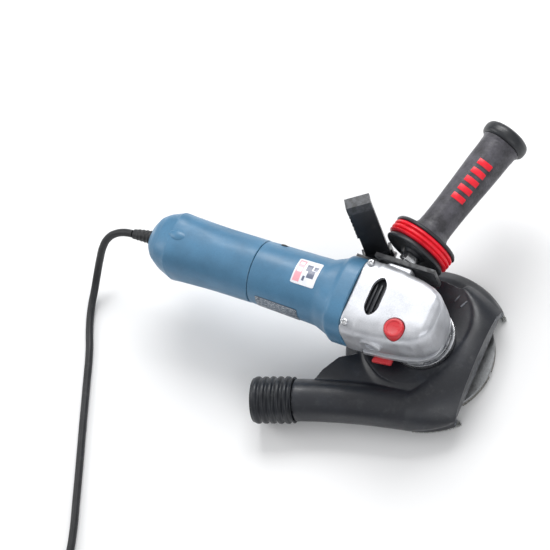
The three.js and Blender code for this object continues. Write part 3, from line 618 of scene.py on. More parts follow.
def melted(meshes, voxel, smoothing, factor=0.5):
    """Overlapping solids run into one another with the soft inside corners of a casting or moulding."""
    thing = draft_object(merged(meshes))
    remesh = thing.modifiers.new("remesh", "REMESH")
    remesh.mode = "VOXEL"
    remesh.voxel_size = voxel * MM
    smooth = thing.modifiers.new("smooth", "SMOOTH")
    smooth.iterations = smoothing
    smooth.factor = factor
    return evaluated(thing)


def bevelled(mesh, width, segments=2):
    thing = draft_object(outward(mesh))
    bevel = thing.modifiers.new("bevel", "BEVEL")
    bevel.width = width * MM
    bevel.segments = segments
    bevel.limit_method = "ANGLE"
    bevel.angle_limit = math.radians(30)
    bevel.use_clamp_overlap = True
    return evaluated(thing)


def kept(node, slot):
    """A CAD node that stays, with its own look."""
    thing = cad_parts[node]
    thing.data.materials.clear()
    thing.data.materials.append(LOOKS[slot])
    thing.data.shade_smooth()
    thing.data.set_sharp_from_angle(angle=math.radians(30))


# ---------- camera, light and floor ----------
VIEW_RIGHT = Vector((0.9054, 0.3855, -0.1777)).normalized()
VIEW_BACK = Vector((0.3021, -0.2912, 0.9077)).normalized()
VIEW_UP = VIEW_BACK.cross(VIEW_RIGHT).normalized()
VIEW_DISTANCE = 2.52
VIEW_CENTRE = (-147, 76)  # middle of the picture, right and up from the spindle's foot
VIEW_WIDTH = 520


def build_camera():
    data = bpy.data.cameras.new("camera")
    camera = bpy.data.objects.new("camera", data)
    bpy.context.scene.collection.objects.link(camera)
    place = SPINDLE + VIEW_BACK * VIEW_DISTANCE
    target = SPINDLE + (VIEW_RIGHT * VIEW_CENTRE[0] + VIEW_UP * VIEW_CENTRE[1]) * MM
    back = (place - target).normalized()
    right = VIEW_UP.cross(back).normalized()
    turn = Matrix((right, back.cross(right), back)).transposed().to_4x4()
    camera.matrix_world = Matrix.Translation(place) @ turn
    data.sensor_width = 36
    data.lens = 36 * (place - target).length / (VIEW_WIDTH * MM)
    data.clip_start = 0.1
    data.clip_end = 30
    bpy.context.scene.camera = camera


def area_light(name, place, target, size, power, colour=(1, 1, 1)):
    data = bpy.data.lights.new(name, "AREA")
    data.shape = "RECTANGLE"
    data.size, data.size_y = size
    data.energy = power
    data.color = colour
    light = bpy.data.objects.new(name, data)
    bpy.context.scene.collection.objects.link(light)
    light.location = SPINDLE + Vector(place)
    aim = SPINDLE + Vector(target) - light.location
    light.rotation_mode = "QUATERNION"
    light.rotation_quaternion = aim.to_track_quat("-Z", "Y")


def build_studio():
    world = bpy.data.worlds.new("studio")
    world.use_nodes = True
    tree = world.node_tree
    background = tree.nodes["Background"]
    direction = tree.nodes.new("ShaderNodeTexCoord").outputs["Generated"]
    height = tree.nodes.new("ShaderNodeSeparateXYZ")
    tree.links.new(direction, height.inputs[0])
    ramp = tree.nodes.new("ShaderNodeValToRGB")
    ramp.color_ramp.elements[0].position = 0.0
    ramp.color_ramp.elements[0].color = (0.30, 0.31, 0.33, 1)
    ramp.color_ramp.elements[1].position = 0.75
    ramp.color_ramp.elements[1].color = (1, 1, 1, 1)
    tree.links.new(height.outputs["Z"], ramp.inputs["Fac"])
    tree.links.new(ramp.outputs["Color"], background.inputs["Color"])
    background.inputs["Strength"].default_value = 0.66
    bpy.context.scene.world = world
    bpy.context.scene.view_settings.view_transform = "Standard"
    area_light("key", (-0.45, 1.25, 1.5), (-0.1, 0.0, 0.05), (1.3, 0.8), 30)
    area_light("fill", (1.3, -0.9, 1.1), (0, 0, 0.05), (1.2, 1.2), 7, (0.96, 0.98, 1))
    area_light("rim", (-1.4, -0.2, 0.9), (-0.1, 0, 0.05), (0.8, 0.8), 6)
    floor_look = Look("floor", rough=0.8, specular=0.2)
    shade = floor_look.ramp(floor_look.noise(3, 4), [(0.3, (0.86, 0.865, 0.87)), (0.7, (0.90, 0.90, 0.905))])
    floor_look.finish(shade, None, floor_look.bump(floor_look.noise(400), 0.0001, 0.2))
    floor_mesh = bpy.data.meshes.new("floor")
    bm = bmesh.new()
    bmesh.ops.create_grid(bm, x_segments=12, y_segments=12, size=4)
    bm.to_mesh(floor_mesh)
    bm.free()
    floor_mesh.materials.append(floor_look.material)
    floor = bpy.data.objects.new("floor", floor_mesh)
    bpy.context.scene.collection.objects.link(floor)


# ---------- power cord ----------
FLOOR = CORD_R + 0.25
ROUTE = [
    (-299, -1.1, 74), (-309, -1.8, 71.8), (-319.3, -4.2, 67.2), (-328.2, -8.6, 59.4), (-334.3, -14.8, 48.5),
    (-338, -23, 35.5), (-340, -34, 22.5), (-340, -47.5, 12), (-338, -63, 6), (-331.5, -82, FLOOR),
    (-320.5, -105, FLOOR), (-306.5, -140.5, FLOOR), (-292.6, -176.5, FLOOR), (-278.7, -212, FLOOR),
    (-264.8, -248, FLOOR), (-253.5, -278, FLOOR), (-247, -300, FLOOR), (-244, -321, FLOOR),
]
COIL_CENTRE = Vector((-190, -362, 0))
COIL_RADIUS = 41.6
PLUG = about((0.5, 0.866, 0), COIL_CENTRE + Vector((75, 10, 18.5)))


def coil_points():
    """Seven turns of stored cord in three layers, and the end led out to the plug."""
    across = 2 * CORD_R
    radii = [1, 0, -1, -1, 0, 1, 0, 1]
    layers = [0, 0, 0, 1, 1, 1, 2, 2]
    start = math.pi - 0.25
    per_turn = 24
    points = []
    for i in range(round(7.3 * per_turn)):
        turn, t = divmod(i / per_turn, 1)
        turn = int(turn)
        after = min(turn + 1, 7)
        begin = 0.5 if turn == 6 else 0.75
        share = max(0.0, min(1.0, (t - begin) / 0.25))
        share = share * share * (3 - 2 * share)
        r = COIL_RADIUS + across * (radii[turn] + (radii[after] - radii[turn]) * share)
        layer = layers[turn] + (layers[after] - layers[turn]) * share
        a = start + 2 * math.pi * (turn + t)
        place = COIL_CENTRE + Vector((r * math.cos(a), r * math.sin(a), FLOOR + layer * across * 0.98))
        points.append(place)
    for x, y in ((25, -47.5), (38, -42), (49, -33.5), (55.5, -23.7)):
        points.append(COIL_CENTRE + Vector((x, y, 18.5)))
    return points


def build_cord_tie():
    """Strap round the coil, with its end under a small buckle."""
    low, high = COIL_RADIUS - 12.2, COIL_RADIUS + 12.2
    section = [(low, 0.7), (high, 0.7), (high, 16), (high - 6, 23.4), (low + 6, 23.4), (low, 16)]
    path = rounded_outline(section, 5)
    turn = Matrix.Rotation(math.radians(35), 4, "Z")
    place = Matrix.Translation(COIL_CENTRE) @ turn
    rings = []
    for i, (r, z) in enumerate(path):
        before, after = Vector(path[i - 1]), Vector(path[(i + 1) % len(path)])
        along = (after - before).normalized()
        out = Vector((along.y, -along.x)) * 0.5
        rings.append([
            (r + out.x, -4.5, z + out.y), (r + out.x, 4.5, z + out.y),
            (r - out.x, 4.5, z - out.y), (r - out.x, -4.5, z - out.y),
        ])
    strap = lofted(rings, place, loop=True)
    buckle = bevelled(block(high - 1.2, high + 1.6, -6, 6, 5, 13, place), 0.5)
    return finished("cord_tie", merged([strap, buckle]), "black_plastic", "housing")


def build_plug():
    profile = [(0, -38), (5, -38), (5.6, -35)]
    for i in range(4):
        z = -34 + i * 4.2
        low, high = 5.9 + i * 0.5, 6.9 + i * 0.5
        profile += [(low, z), (low, z + 1.5), (high, z + 2.1), (high, z + 3.6)]
    profile += [
        (9.5, -16.4), (12, -12), (17, -4), (18.4, 1), (18.4, 11), (17.6, 11.6), (17.6, 13), (18.4, 13.6),
        (18.4, 16), (17.6, 17), (0, 17),
    ]
    body = turned(profile, PLUG, 64)
    flutes = []
    for a in around(14):
        side = PLUG @ Matrix.Rotation(a, 4, "Z")
        flute = [(0, -2), (1.3, -1), (1.3, 9.5), (0, 10.5)]
        flutes.append(turned(flute, side @ Matrix.Translation((18.9, 0, 0)), 12))
    shell = finished("plug_shell", cut(body, *flutes), "cord_rubber", "housing", ["plug_body"])
    pieces = [shell]
    for sign, node in ((1, "plug_pin_left"), (-1, "plug_pin_right")):
        foot = PLUG @ Matrix.Rotation(math.pi / 2, 4, "Z") @ Matrix.Translation((9.5 * sign, 0, 0))
        pin = turned([(0, 17.3), (2.4, 17.3), (2.4, 34), (1.4, 36), (0, 36)], foot, 32, 0.9)
        pieces.append(finished("contact" + node[8:], pin, "bright_steel", "housing", [node]))
    return pieces


def build_cord():
    points = [*ROUTE, *coil_points()]
    curve = bpy.data.curves.new("power_cord", "CURVE")
    curve.dimensions = "3D"
    curve.bevel_depth = CORD_R * MM
    curve.bevel_resolution = 5
    curve.resolution_u = 6
    curve.use_fill_caps = True
    line = curve.splines.new("BEZIER")
    line.bezier_points.add(len(points) - 1)
    for point, place in zip(line.bezier_points, points):
        point.co = at(place)
        point.handle_left_type = point.handle_right_type = "AUTO"
    curve.materials.append(LOOKS["cord_rubber"])
    cord = bpy.data.objects.new("power_cord", curve)
    bpy.context.scene.collection.objects.link(cord)
    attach(cord, "housing")
    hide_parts("cord", "cord_coil")
    build_plug()
    build_cord_tie()
    build_bend_sleeve()


def build_bend_sleeve():
    """Rubber sleeve with ribs, drooping a little under the weight of the cord."""
    keys = [(*place, 8 - 0.7 * i) for i, place in enumerate(SLEEVE)]
    line = eased(keys, 0.6)
    rings = []
    for i, (x, y, z, r) in enumerate(line):
        before, after = line[max(i - 1, 0)], line[min(i + 1, len(line) - 1)]
        aim = (Vector(after[:3]) - Vector(before[:3])).normalized()
        ribbed = -295.5 < x < -275.5
        rib = 0.45 * max(0.0, math.cos(2 * math.pi * (x + 275.5) / 4.2)) if ribbed else 0.0
        rings.append(circle_at(Vector((x, y, z)), aim, r - 0.5 + rib))
    finished("bend_sleeve", lofted(rings), "cord_rubber", "housing", ["cord_sleeve"])


# ---------- motor housing ----------
TAIL_DROP = 3  # the tail sits a little below the motor axis
SLEEVE = [
    (-262, 0, MOTOR_Z - TAIL_DROP), (-271, 0, MOTOR_Z - TAIL_DROP - 0.2),
    (-280, -0.2, MOTOR_Z - TAIL_DROP - 0.8), (-289, -0.5, MOTOR_Z - TAIL_DROP - 2),
    (-298, -1, MOTOR_Z - TAIL_DROP - 3.8),
]
SWITCH = Matrix.Translation((0, 0, MOTOR_Z)) @ Matrix.Rotation(math.radians(-25), 4, "X")


def barrel_radius(x):
    return 30 + 2 * (x - SEAM_X) / 67


def build_motor_housing():
    outside = [
        (-57.3, 38.6, 47, 114, 3.0), (-58.2, 39.4, 46.1, 114.9, 3.0), (-60, 39.5, 46, 115, 3.0),
        (-72, 39.5, 46, 115, 3.0), (-73.6, 38.9, 46.6, 114.4, 2.95), (-76, 36.9, 47.9, 113.6, 2.75),
        (-84, 34, 48.4, 113.5, 2.3), (-92, 32, 49, 113, 2.0), (-125, 31.01, 49.99, 112.01, 2.0),
        (-158.2, 30.02, 50.98, 111.02, 2.0), (-158.7, 29.6, 51.4, 110.6, 2.0),
    ]
    inside = [
        (-56, 35.5, 50, 111, 3), (-73, 35.5, 50, 111, 3), (-86, 29, 52, 110, 2), (-160, 27, 54, 108, 2),
    ]
    tools = [
        lofted([squircle(*s) for s in eased(inside, 4)]),
        bevelled(block(-162, -121, 29.4, 40, -7, 7, SWITCH), 1.2, 3),
        block(-157, -137, 20, 34, -2.4, 2.4, SWITCH),
    ]
    for i in range(5):
        x = -71 + 2.6 * i
        tools.append(bevelled(block(x, x + 1.4, -45, -30, 62, 74), 0.6, 3))
    # brush caps sit in shallow round recesses, clear of the slide switch
    wells = [about((0, side, 0), (-142, 0, MOTOR_Z + 14 * side)) for side in (1, -1)]
    for well in wells:
        tools.append(rod(4.4, 24.6, 40, well, 40, 0.2))
    shell = cut(lofted([squircle(*s) for s in eased(outside, 1.5)]), *tools)
    finished("motor_shell", shell, "blue_shell", "housing", ["motor_housing"], 28)
    caps = []
    for well in wells:
        cap = turned([(0, 24.8), (4.1, 24.8), (4.1, 26.4), (3.4, 26.9), (0, 26.9)], well, 40, 0.3)
        notch = block(-3, 3, -0.55, 0.55, 26.2, 28, well)
        caps.append(cut(cap, notch))
    finished("brush_caps", merged(caps), "black_plastic", "housing")


def build_rear_cover():
    outside = [
        (-159.3, 29.9, 2), (-159.9, 30.4, 2), (-163, 30.4, 2), (-200, 30.2, 2.1), (-236, 30.6, 2.5),
        (-247.4, 30.3, 3.0), (-248.0, 30.0, 3.0), (-261.8, 24.6, 3.0), (-262.2, 24.3, 3.0),
        (-268, 20.5, 3.0), (-268.4, 20.0, 3.0), (-273.6, 13.6, 2.6), (-274, 12.8, 2.6),
    ]
    inside = [(-158, 27, 2), (-200, 27, 2.1), (-246, 26, 2.5), (-258, 19, 2.5), (-268, 9, 2.5)]

    def sections(keys, spacing):
        made = []
        for x, r, power in eased(keys, spacing):
            middle = MOTOR_Z - TAIL_DROP * min(1, (SEAM_X - x) / 90)
            made.append(squircle(x, r, middle - r, middle + r, power))
        return made

    bump = []
    for i in range(13):
        t = i / 12
        k = math.sin(math.pi * t) ** 0.6
        x = -250.5 + 21 * t
        bump.append([
            (x, 6.3 * k * math.cos(a), 106.9 + 3.6 * k * math.sin(a))
            for a in around(40)
        ])
    shell = cut(
        joined(lofted(sections(outside, 1.0)), lofted(bump)),
        lofted(sections(inside, 4)),
        lofted([circle_at(Vector(place), Vector((-1, 0, 0)), 8.3) for place in SLEEVE]),
    )
    finished("tail_shell", shell, "blue_shell", "housing", ["rear_cover"], 14)


def curved_patch(x0, x1, from_degrees, to_degrees, lift, thick):
    """A thin plate on the tapered barrel, with its own map: across along X, up round the barrel."""
    across, round_it = 16, 28
    corner = 0.03
    rings = []
    for high in (0, 1):
        rows = []
        for i in range(across + 1):
            u = i / across
            trim = corner * (1 - math.sqrt(max(0.0, 1 - max(0.0, 1 - min(u, 1 - u) / corner) ** 2)))
            row = []
            for j in range(round_it + 1):
                v = trim + (1 - 2 * trim) * j / round_it
                x = x0 + (x1 - x0) * u
                a = math.radians(from_degrees + (to_degrees - from_degrees) * v)
                r = barrel_radius(x) + lift + thick * high
                row.append(((x, r * math.sin(a), MOTOR_Z + r * math.cos(a)), (u, v)))
            rows.append(row)
        rings.append(rows)
    points, maps, faces = [], [], []
    for rows in rings:
        for row in rows:
            for p, uv in row:
                points.append(p)
                maps.append(uv)
    wide = round_it + 1
    layer = (across + 1) * wide
    for i in range(across):
        for j in range(round_it):
            a = i * wide + j
            faces.append((a, a + 1, a + wide + 1, a + wide))
            faces.append((layer + a, layer + a + wide, layer + a + wide + 1, layer + a + 1))
    rim = list(range(wide))
    rim += [i * wide + round_it for i in range(1, across + 1)]
    rim += [across * wide + j for j in range(round_it - 1, -1, -1)]
    rim += [i * wide for i in range(across - 1, 0, -1)]
    for a, b in zip(rim, [*rim[1:], rim[0]]):
        faces.append((a, b, b + layer, a + layer))
    mesh = mesh_of(points, faces)
    layer_map = mesh.uv_layers.new(name="UVMap")
    for loop in mesh.loops:
        layer_map.data[loop.index].uv = maps[loop.vertex_index]
    return mesh


def build_labels():
    finished("type_sticker", curved_patch(-117, -93, -19, 29, 0.12, 0.18), "label", "housing", ["type_label"])
    data_plate = curved_patch(-150, -106, -104, -66, 0.1, 0.3)
    finished("data_plate", data_plate, "plate", "housing", ["rating_plate"])


def build_slide_switch():
    pad = bevelled(block(-158.2, -130, 29.9, 33, -6, 6, SWITCH), 1.0, 3)
    foot = block(-150, -146, 22.5, 30.5, -1.9, 1.9, SWITCH)
    ribs = [bevelled(block(x, x + 1.6, 32, 34.5, -5, 5, SWITCH), 0.5) for x in (-155, -151, -147, -143, -139)]
    slider = joined(pad, foot, *ribs)
    finished("switch_button", slider, "black_plastic", "switch_slider", ["power_switch_slider"])


# ---------- gear head ----------
HEAD_PLAN = [
    (-57, 38.5), (-50, 38.5), (-42, 38), (-20, 36), (0, 33), (12, 29.5), (19, 25.5), (24, 20.5), (26.5, 16),
    (27.5, 10),
]


def build_gear_housing():
    keys = []
    for x, half in HEAD_PLAN:
        low = 50 if x < -43 else HEAD_BOTTOM
        if x == -42:
            keys.append((-43.5, 38.1, 50, HEAD_TOP, 5))
        keys.append((x, half, low, HEAD_TOP - max(0, x - 22) * 0.9, 5))
    inside = [
        (x - 1 if x == -57 else x, half - 4, 54 if x < -46 else 50, HEAD_TOP - 3.5, 4)
        for x, half in HEAD_PLAN
        if x < 20
    ]
    inside.append((23, 12, 50, 106, 4))
    boss = bevelled(block(-40, -15, 31, 40.8, 79, 102), 2.5, 3)
    boss_frame = about((0, -1, 0), (-27.5, 0, 88))
    right_boss = rod(10, 31, 39.3, boss_frame, 64, 0.8)
    body = melted([lofted([squircle(*k, 72) for k in keys]), boss, right_boss], 0.8, 5, 0.45)
    slot_outline = [(-41, 14), (-34, 23), (-27, 14), (-27, -12), (-34, -20), (-41, -12)]
    outlet = bevelled(slab(rounded_outline(slot_outline, 7), 104, 120), 0.2)
    lock_x, lock_y = LOCK
    well = about((0, 0, 1), (lock_x, lock_y, 0))
    stud_hole = HANDLE @ Matrix.Translation((0, 0, -20))
    shell = cut(
        body,
        lofted([squircle(*k, 64) for k in inside]),
        outlet,
        turned([(0, 96.5), (10, 96.5), (10, 111), (11.2, 112.4), (11.2, 120), (0, 120)], well, 64, 0.1),
        block(-58, -55.8, -34, 34, 50.5, 109.5),
        rod(6.4, 0, 25, stud_hole, 40, 0.1),
        rod(5.2, 36.5, 45, boss_frame, 48, 0.1),
    )
    seat = turned([(8.8, 97), (11.3, 97), (11.3, 110), (8.8, 110)], None, 48, 0.1)
    finished("gear_case", merged([shell, seat]), "cast_alloy", "housing", ["gear_housing"], 34)


def build_flange():
    half = [(x - 0.4, y - 0.6) for x, y in HEAD_PLAN if x >= -42]
    outline = [(x, -y) for x, y in half] + half[::-1]
    plate = bevelled(slab(rounded_outline(outline, 3), 56, HEAD_BOTTOM - 0.3), 0.7, 2)
    neck = turned(
        [
            (10.6, 40), (21.5, 40), (21.5, 53), (24.5, 56.5), (24.5, 61), (14.3, 61), (14.3, 43.5),
            (10.6, 43.5),
        ],
        None, 96, 0.5,
    )
    lug = bevelled(slab([(0, -32), (14, -28), (14, -19), (0, -19)], 51.6, 57), 0.8)
    hole = rod(14.4, 50, 64, None, 64, 0.1)
    clear = rod(21.4, 39, 60, None, 96, 0.1)
    flange = merged([cut(plate, hole), neck, cut(lug, clear)])
    finished("gear_flange", flange, "cast_alloy", "housing", ["bearing_flange"])


def build_head_details():
    star = []
    for k in range(24):
        r = 1.75 if k % 4 < 2 else 1.25
        star.append((r * math.cos(k * math.pi / 12), r * math.sin(k * math.pi / 12)))
    for side, name in ((1, "left"), (-1, "right")):
        seats = {
            "gear_housing_screw_": about((0, 0, 1), (-51.5, 31 * side, 110.6)),
            "flange_screw_": about((0, 0, -1), (-36, 24 * side, 55.9)),
        }
        for kind, seat in seats.items():
            head = turned([(0, -2.5), (3.3, -2.5), (3.3, 1.5), (2.7, 2.4), (0, 2.4)], seat, 48, 0.5)
            screw = cut(head, slab(star, 1.1, 4, seat))
            label = kind.replace("gear_housing", "head") + "head_" + name
            finished(label, screw, "bright_steel", "housing", [kind + name])
    vanes = [bevelled(block(x - 0.8, x + 0.8, -13, 15, 102.5, 107), 0.3) for x in (-38.5, -34, -29.5)]
    louvres = merged([block(-44, -24, -21, 24, 101, 103), *vanes])
    finished("outlet_louvres", louvres, "black_plastic", "housing", ["outlet_baffle"])
    lock_x, lock_y = LOCK
    angle = math.atan2(-13, lock_x)
    pin_x, pin_y = 14 * math.cos(angle), 14 * math.sin(angle)
    button = turned(
        [(0, 102), (9.5, 102), (9.5, 112.6), (8.3, 114), (6.4, 114), (6.0, 113.5), (0, 113.3)],
        about((0, 0, 1), (lock_x, lock_y, 0)), 72, 0.5,
    )
    foot = block(lock_x - 3.2, lock_x + 3.2, -25.5, pin_y - 0.5, 98.5, 102.5)
    pin = rod(2.3, 75.6, 102, about((0, 0, 1), (pin_x, pin_y, 0)), 32)
    button = merged([button, foot, pin])
    finished("spindle_lock_button", button, "red_plastic", "lock_button", ["lock_button"])
    outline = [(-33, -41), (-14, -38.5), (-14, -31), (-22, -26), (-32, -36)]
    lever = bevelled(slab(rounded_outline(outline, 2), 50.8, 55), 0.6)
    boss = rod(4.5, 50.2, 55.4, about((0, 0, 1), (-21, -30, 0)), 40)
    finished("hood_latch", joined(lever, boss), "red_plastic", "release_lever", ["hood_release_lever"])


def build_spindle():
    finished(
        "wheel_disc",
        turned(
            [
                (7.4, 20), (22, 20), (38, 7.2), (62.4, 7.2), (62.4, 10.2), (39.5, 10.2), (23.5, 23.2),
                (7.4, 23.2),
            ],
            None, 144, 0.8,
        ),
        "wheel_steel", "spindle", ["cup_wheel"],
    )
    backing = turned([(42, 6), (61.9, 6), (61.9, 6.9), (42, 6.9)], None, 144, 0.2)
    segments = []
    for i in range(9):
        a0, a1 = math.radians(i * 40 + 2.5), math.radians(i * 40 + 37.5)
        arc = [a0 + (a1 - a0) * k / 14 for k in range(15)]
        outline = [(61.8 * math.cos(a), 61.8 * math.sin(a)) for a in arc]
        outline += [(42.2 * math.cos(a), 42.2 * math.sin(a)) for a in reversed(arc)]
        segments.append(bevelled(slab(outline, 0.6, 6.3), 0.5))
    finished("grinding_segments", merged([backing, *segments]), "diamond", "spindle", ["diamond_segments"])
    nut = turned([(7.3, 13.7), (17, 13.7), (17, 19.7), (7.3, 19.7)], None, 96, 0.6)
    holes = [
        rod(2.2, 10, 17, about((0, 0, 1), (12.5 * side, 0, 0)), 24, 0.1)
        for side in (1, -1)
    ]
    finished("lock_nut", cut(nut, *holes), "bright_steel", "spindle", ["clamp_nut"])
    washer = turned([(7.3, 23.5), (20.5, 23.5), (20.5, 28.2), (17, 30.7), (7.3, 30.7)], None, 96, 0.5)
    finished("backing_flange", washer, "bright_steel", "spindle", ["mounting_flange"])


# ---------- side handle ----------
def inlay(low, high, radius, start, end):
    """A plain raised bar let into the grip, from one angle to another."""
    outline = []
    for r, way in ((radius + 0.35, 1), (radius - 1, -1)):
        steps = [start + (end - start) * i / 12 for i in range(13)][::way]
        outline += [(r * math.cos(a), r * math.sin(a)) for a in steps]
    return bevelled(slab(outline, low, high, HANDLE), 0.2)


def build_handle():
    near, far = 41.4, 45.4  # faces of the bracket's upright plate
    plates = [
        block(-54, 6, near, far, 74, 104),
        block(-78, -50, near, far, 62, 84),
        block(-78, -50, near, 65, 61, 65.5),
        *[block(x, x + 2.6, -4.5, 4.5, -8, 4.5, LEVER) for x in (-14, 11.4)],
    ]
    body = joined(*plates)
    hole = rod(6.4, 0, 30, HANDLE @ Matrix.Translation((0, 0, -20)), 40, 0.1)
    body = bevelled(cut(body, hole), 0.9, 3)
    axle = rod(2, -13, 13, LEVER_PIN, 24, 0.3)
    finished("side_bracket", merged([body, axle]), "bracket_steel", "housing", ["handle_bracket"])
    shank = rod(5.8, -14, 9.6, HANDLE, 48)
    nut = bevelled(slab(hexagon(9.5), 2.4, 9.6, HANDLE), 0.6)
    finished("handle_bolt", merged([shank, nut]), "bright_steel", "housing", ["handle_stud"])
    finished(
        "inner_guard",
        turned(
            [(0, 10), (9, 10), (11, 13.5), (24, 13.5), (29.5, 11.5), (31, 13), (29, 17), (0, 17)],
            HANDLE, 96, 1.2,
        ),
        "black_plastic", "housing", ["handle_inner_disc"],
    )
    profile = [(0, 17.3), (30.2, 17.3), (31.8, 18.2)]
    for z in (20.2, 24.7):
        profile += [
            (32.4, z - 1.5), (31.8, z - 0.9), (29.4, z - 0.6), (29.4, z + 0.6), (31.8, z + 0.9),
            (32.4, z + 1.5),
        ]
    profile += [(32.2, 27.4), (31.0, 29), (0, 29)]
    finished("spring_ring", turned(profile, HANDLE, 120, 0.5), "red_rubber", "housing", ["damping_ring"])
    finished(
        "outer_guard",
        turned([(0, 29.3), (32.3, 29.3), (33, 30.6), (31.5, 33), (21, 33), (0, 33)], HANDLE, 96, 0.8),
        "black_plastic", "housing", ["handle_outer_disc"],
    )
    keys = [
        (33.3, 19.2), (34.6, 19.4), (38, 18), (43, 16.3), (60, 16.2), (80, 16.6), (120, 18), (143, 18.4),
        (145, 19.6), (146, 19.6),
    ]
    line = eased(keys, 1.0)
    rings = []
    for z, r in line:
        ring = []
        for a in around(96):
            waist = 1 if 46 < z < 138 else 0
            edge = r - 0.15 + 0.25 * waist * math.cos(8 * a)
            ring.append((edge * math.cos(a), edge * math.sin(a), z))
        rings.append(ring)
    finished("grip_sleeve", lofted(rings, HANDLE), "grip_rubber", "housing", ["handle_grip"], 40)
    facing = HANDLE.inverted().to_3x3() @ VIEW_BACK
    middle = math.atan2(facing.y, facing.x)
    bars = []
    for z in range(74, 115, 10):
        radius = 16.6 + 1.4 * (z - 80) / 40
        bars.append(inlay(z, z + 6, radius, middle - 0.42, middle + 0.42))
    finished("grip_inlay", merged(bars), "red_rubber", "housing")
    finished(
        "grip_cap",
        turned(
            [
                (0, 146.3), (20.6, 146.3), (22, 147.6), (22.8, 150), (22.8, 154.6), (21.4, 157.8),
                (18, 159.7), (12, 160.2), (11, 159.4), (0, 159.2),
            ],
            HANDLE, 96, 1.2,
        ),
        "black_plastic", "housing", ["handle_end_cap"],
    )


def build_clamp_lever():
    body = joined(
        block(-11, 11, -3.2, 3.2, 3, 80, LEVER),
        rod(4.4, -11, 11, LEVER_PIN, 40, 0.2),
        block(-12, 11.5, -7, 4.5, 76, 80.5, LEVER),
        block(-12, 11.5, -7, -4, 70, 78, LEVER),
        *[block(-12.6, -10.5, -2.5, 2.5, z, z + 3, LEVER) for z in (30, 36, 42, 48, 54, 60)],
    )
    recess = bevelled(block(-7, 7, 2.2, 6, 14, 68, LEVER), 0.5)
    pin = rod(2.3, -14, 14, LEVER_PIN, 24, 0.1)
    lever = bevelled(cut(body, pin, recess), 0.6, 2)
    finished("strap_lever", lever, "black_plastic", "clamp_lever", ["clamp_lever"])


# ---------- dust hood ----------
def on_circle(r, degrees, z=0.0):
    a = math.radians(degrees)
    return Vector((r * math.cos(a), r * math.sin(a), z))


def circle_at(centre, aim, r):
    side = Vector((0, 0, 1)).cross(aim).normalized()
    return [
        centre + side * (r * math.cos(a)) + Vector((0, 0, r * math.sin(a)))
        for a in around(48)
    ]


CHANNEL_EDGE = [(75, 60), (53, 53), (31, 44.5), (3, 36), (-42, 33), (-80, 46)]  # angle and radius
BACK_EDGE = [(-120, 54), (-165, 60), (-210, 62), (-250, 62)]


def spline(points, t):
    """A point of the smooth curve through points, at t from 0 to 1."""
    last = len(points) - 1
    i = min(int(t * last), last - 1)
    f = t * last - i
    p = [Vector(points[max(0, min(last, i + k))]) for k in (-1, 0, 1, 2)]
    a, b = (p[2] - p[0]) / 2, (p[3] - p[1]) / 2
    return (2 * p[1] - 2 * p[2] + a + b) * f**3 + (3 * p[2] - 3 * p[1] - 2 * a - b) * f**2 + a * f + p[1]


def channel_rings(shrink):
    """Sections of the channel: high at its inner edge at first, round where it meets the duct."""
    rings = []
    for i in range(49):
        t = i / 48
        degrees, edge = spline(CHANNEL_EDGE, t)
        inner = edge - 1 + shrink
        outer = 72 + 7 * min(1, 3 * t) + 6 * t**3 - shrink
        middle, half = (inner + outer) / 2, (outer - inner) / 2
        skew = 0.75 * (1 - t**6)
        height = HOOD_TOP + 0.2 + 2.3 * t - 20
        ring = []
        for a in around(48):
            r = middle + half * (math.cos(a) - skew * max(0, math.sin(a)))
            ring.append(on_circle(r, degrees, height + (20 - shrink) * math.sin(a)))
        rings.append(ring)
    return rings


def duct_rings(shrink, before=0.0, after=0.0):
    start = on_circle(65, -80, 24.5)
    aim = Vector((math.sin(math.radians(-80)), -math.cos(math.radians(-80)), 0))
    reach = (DUCT_END - start).length / 3
    line = interpolate_bezier(start, start + aim * reach, DUCT_END - DUCT_AIM * reach, DUCT_END, 30)
    rings = []
    if before:
        rings.append(circle_at(start - aim * before, aim, 20 - shrink))
    for i, p in enumerate(line):
        ahead = line[min(i + 1, 29)] - line[max(i - 1, 0)]
        rings.append(circle_at(p, ahead.normalized(), 20 - shrink))
    if after:
        rings.append(circle_at(DUCT_END + DUCT_AIM * after, DUCT_AIM, 20 - shrink))
    return rings


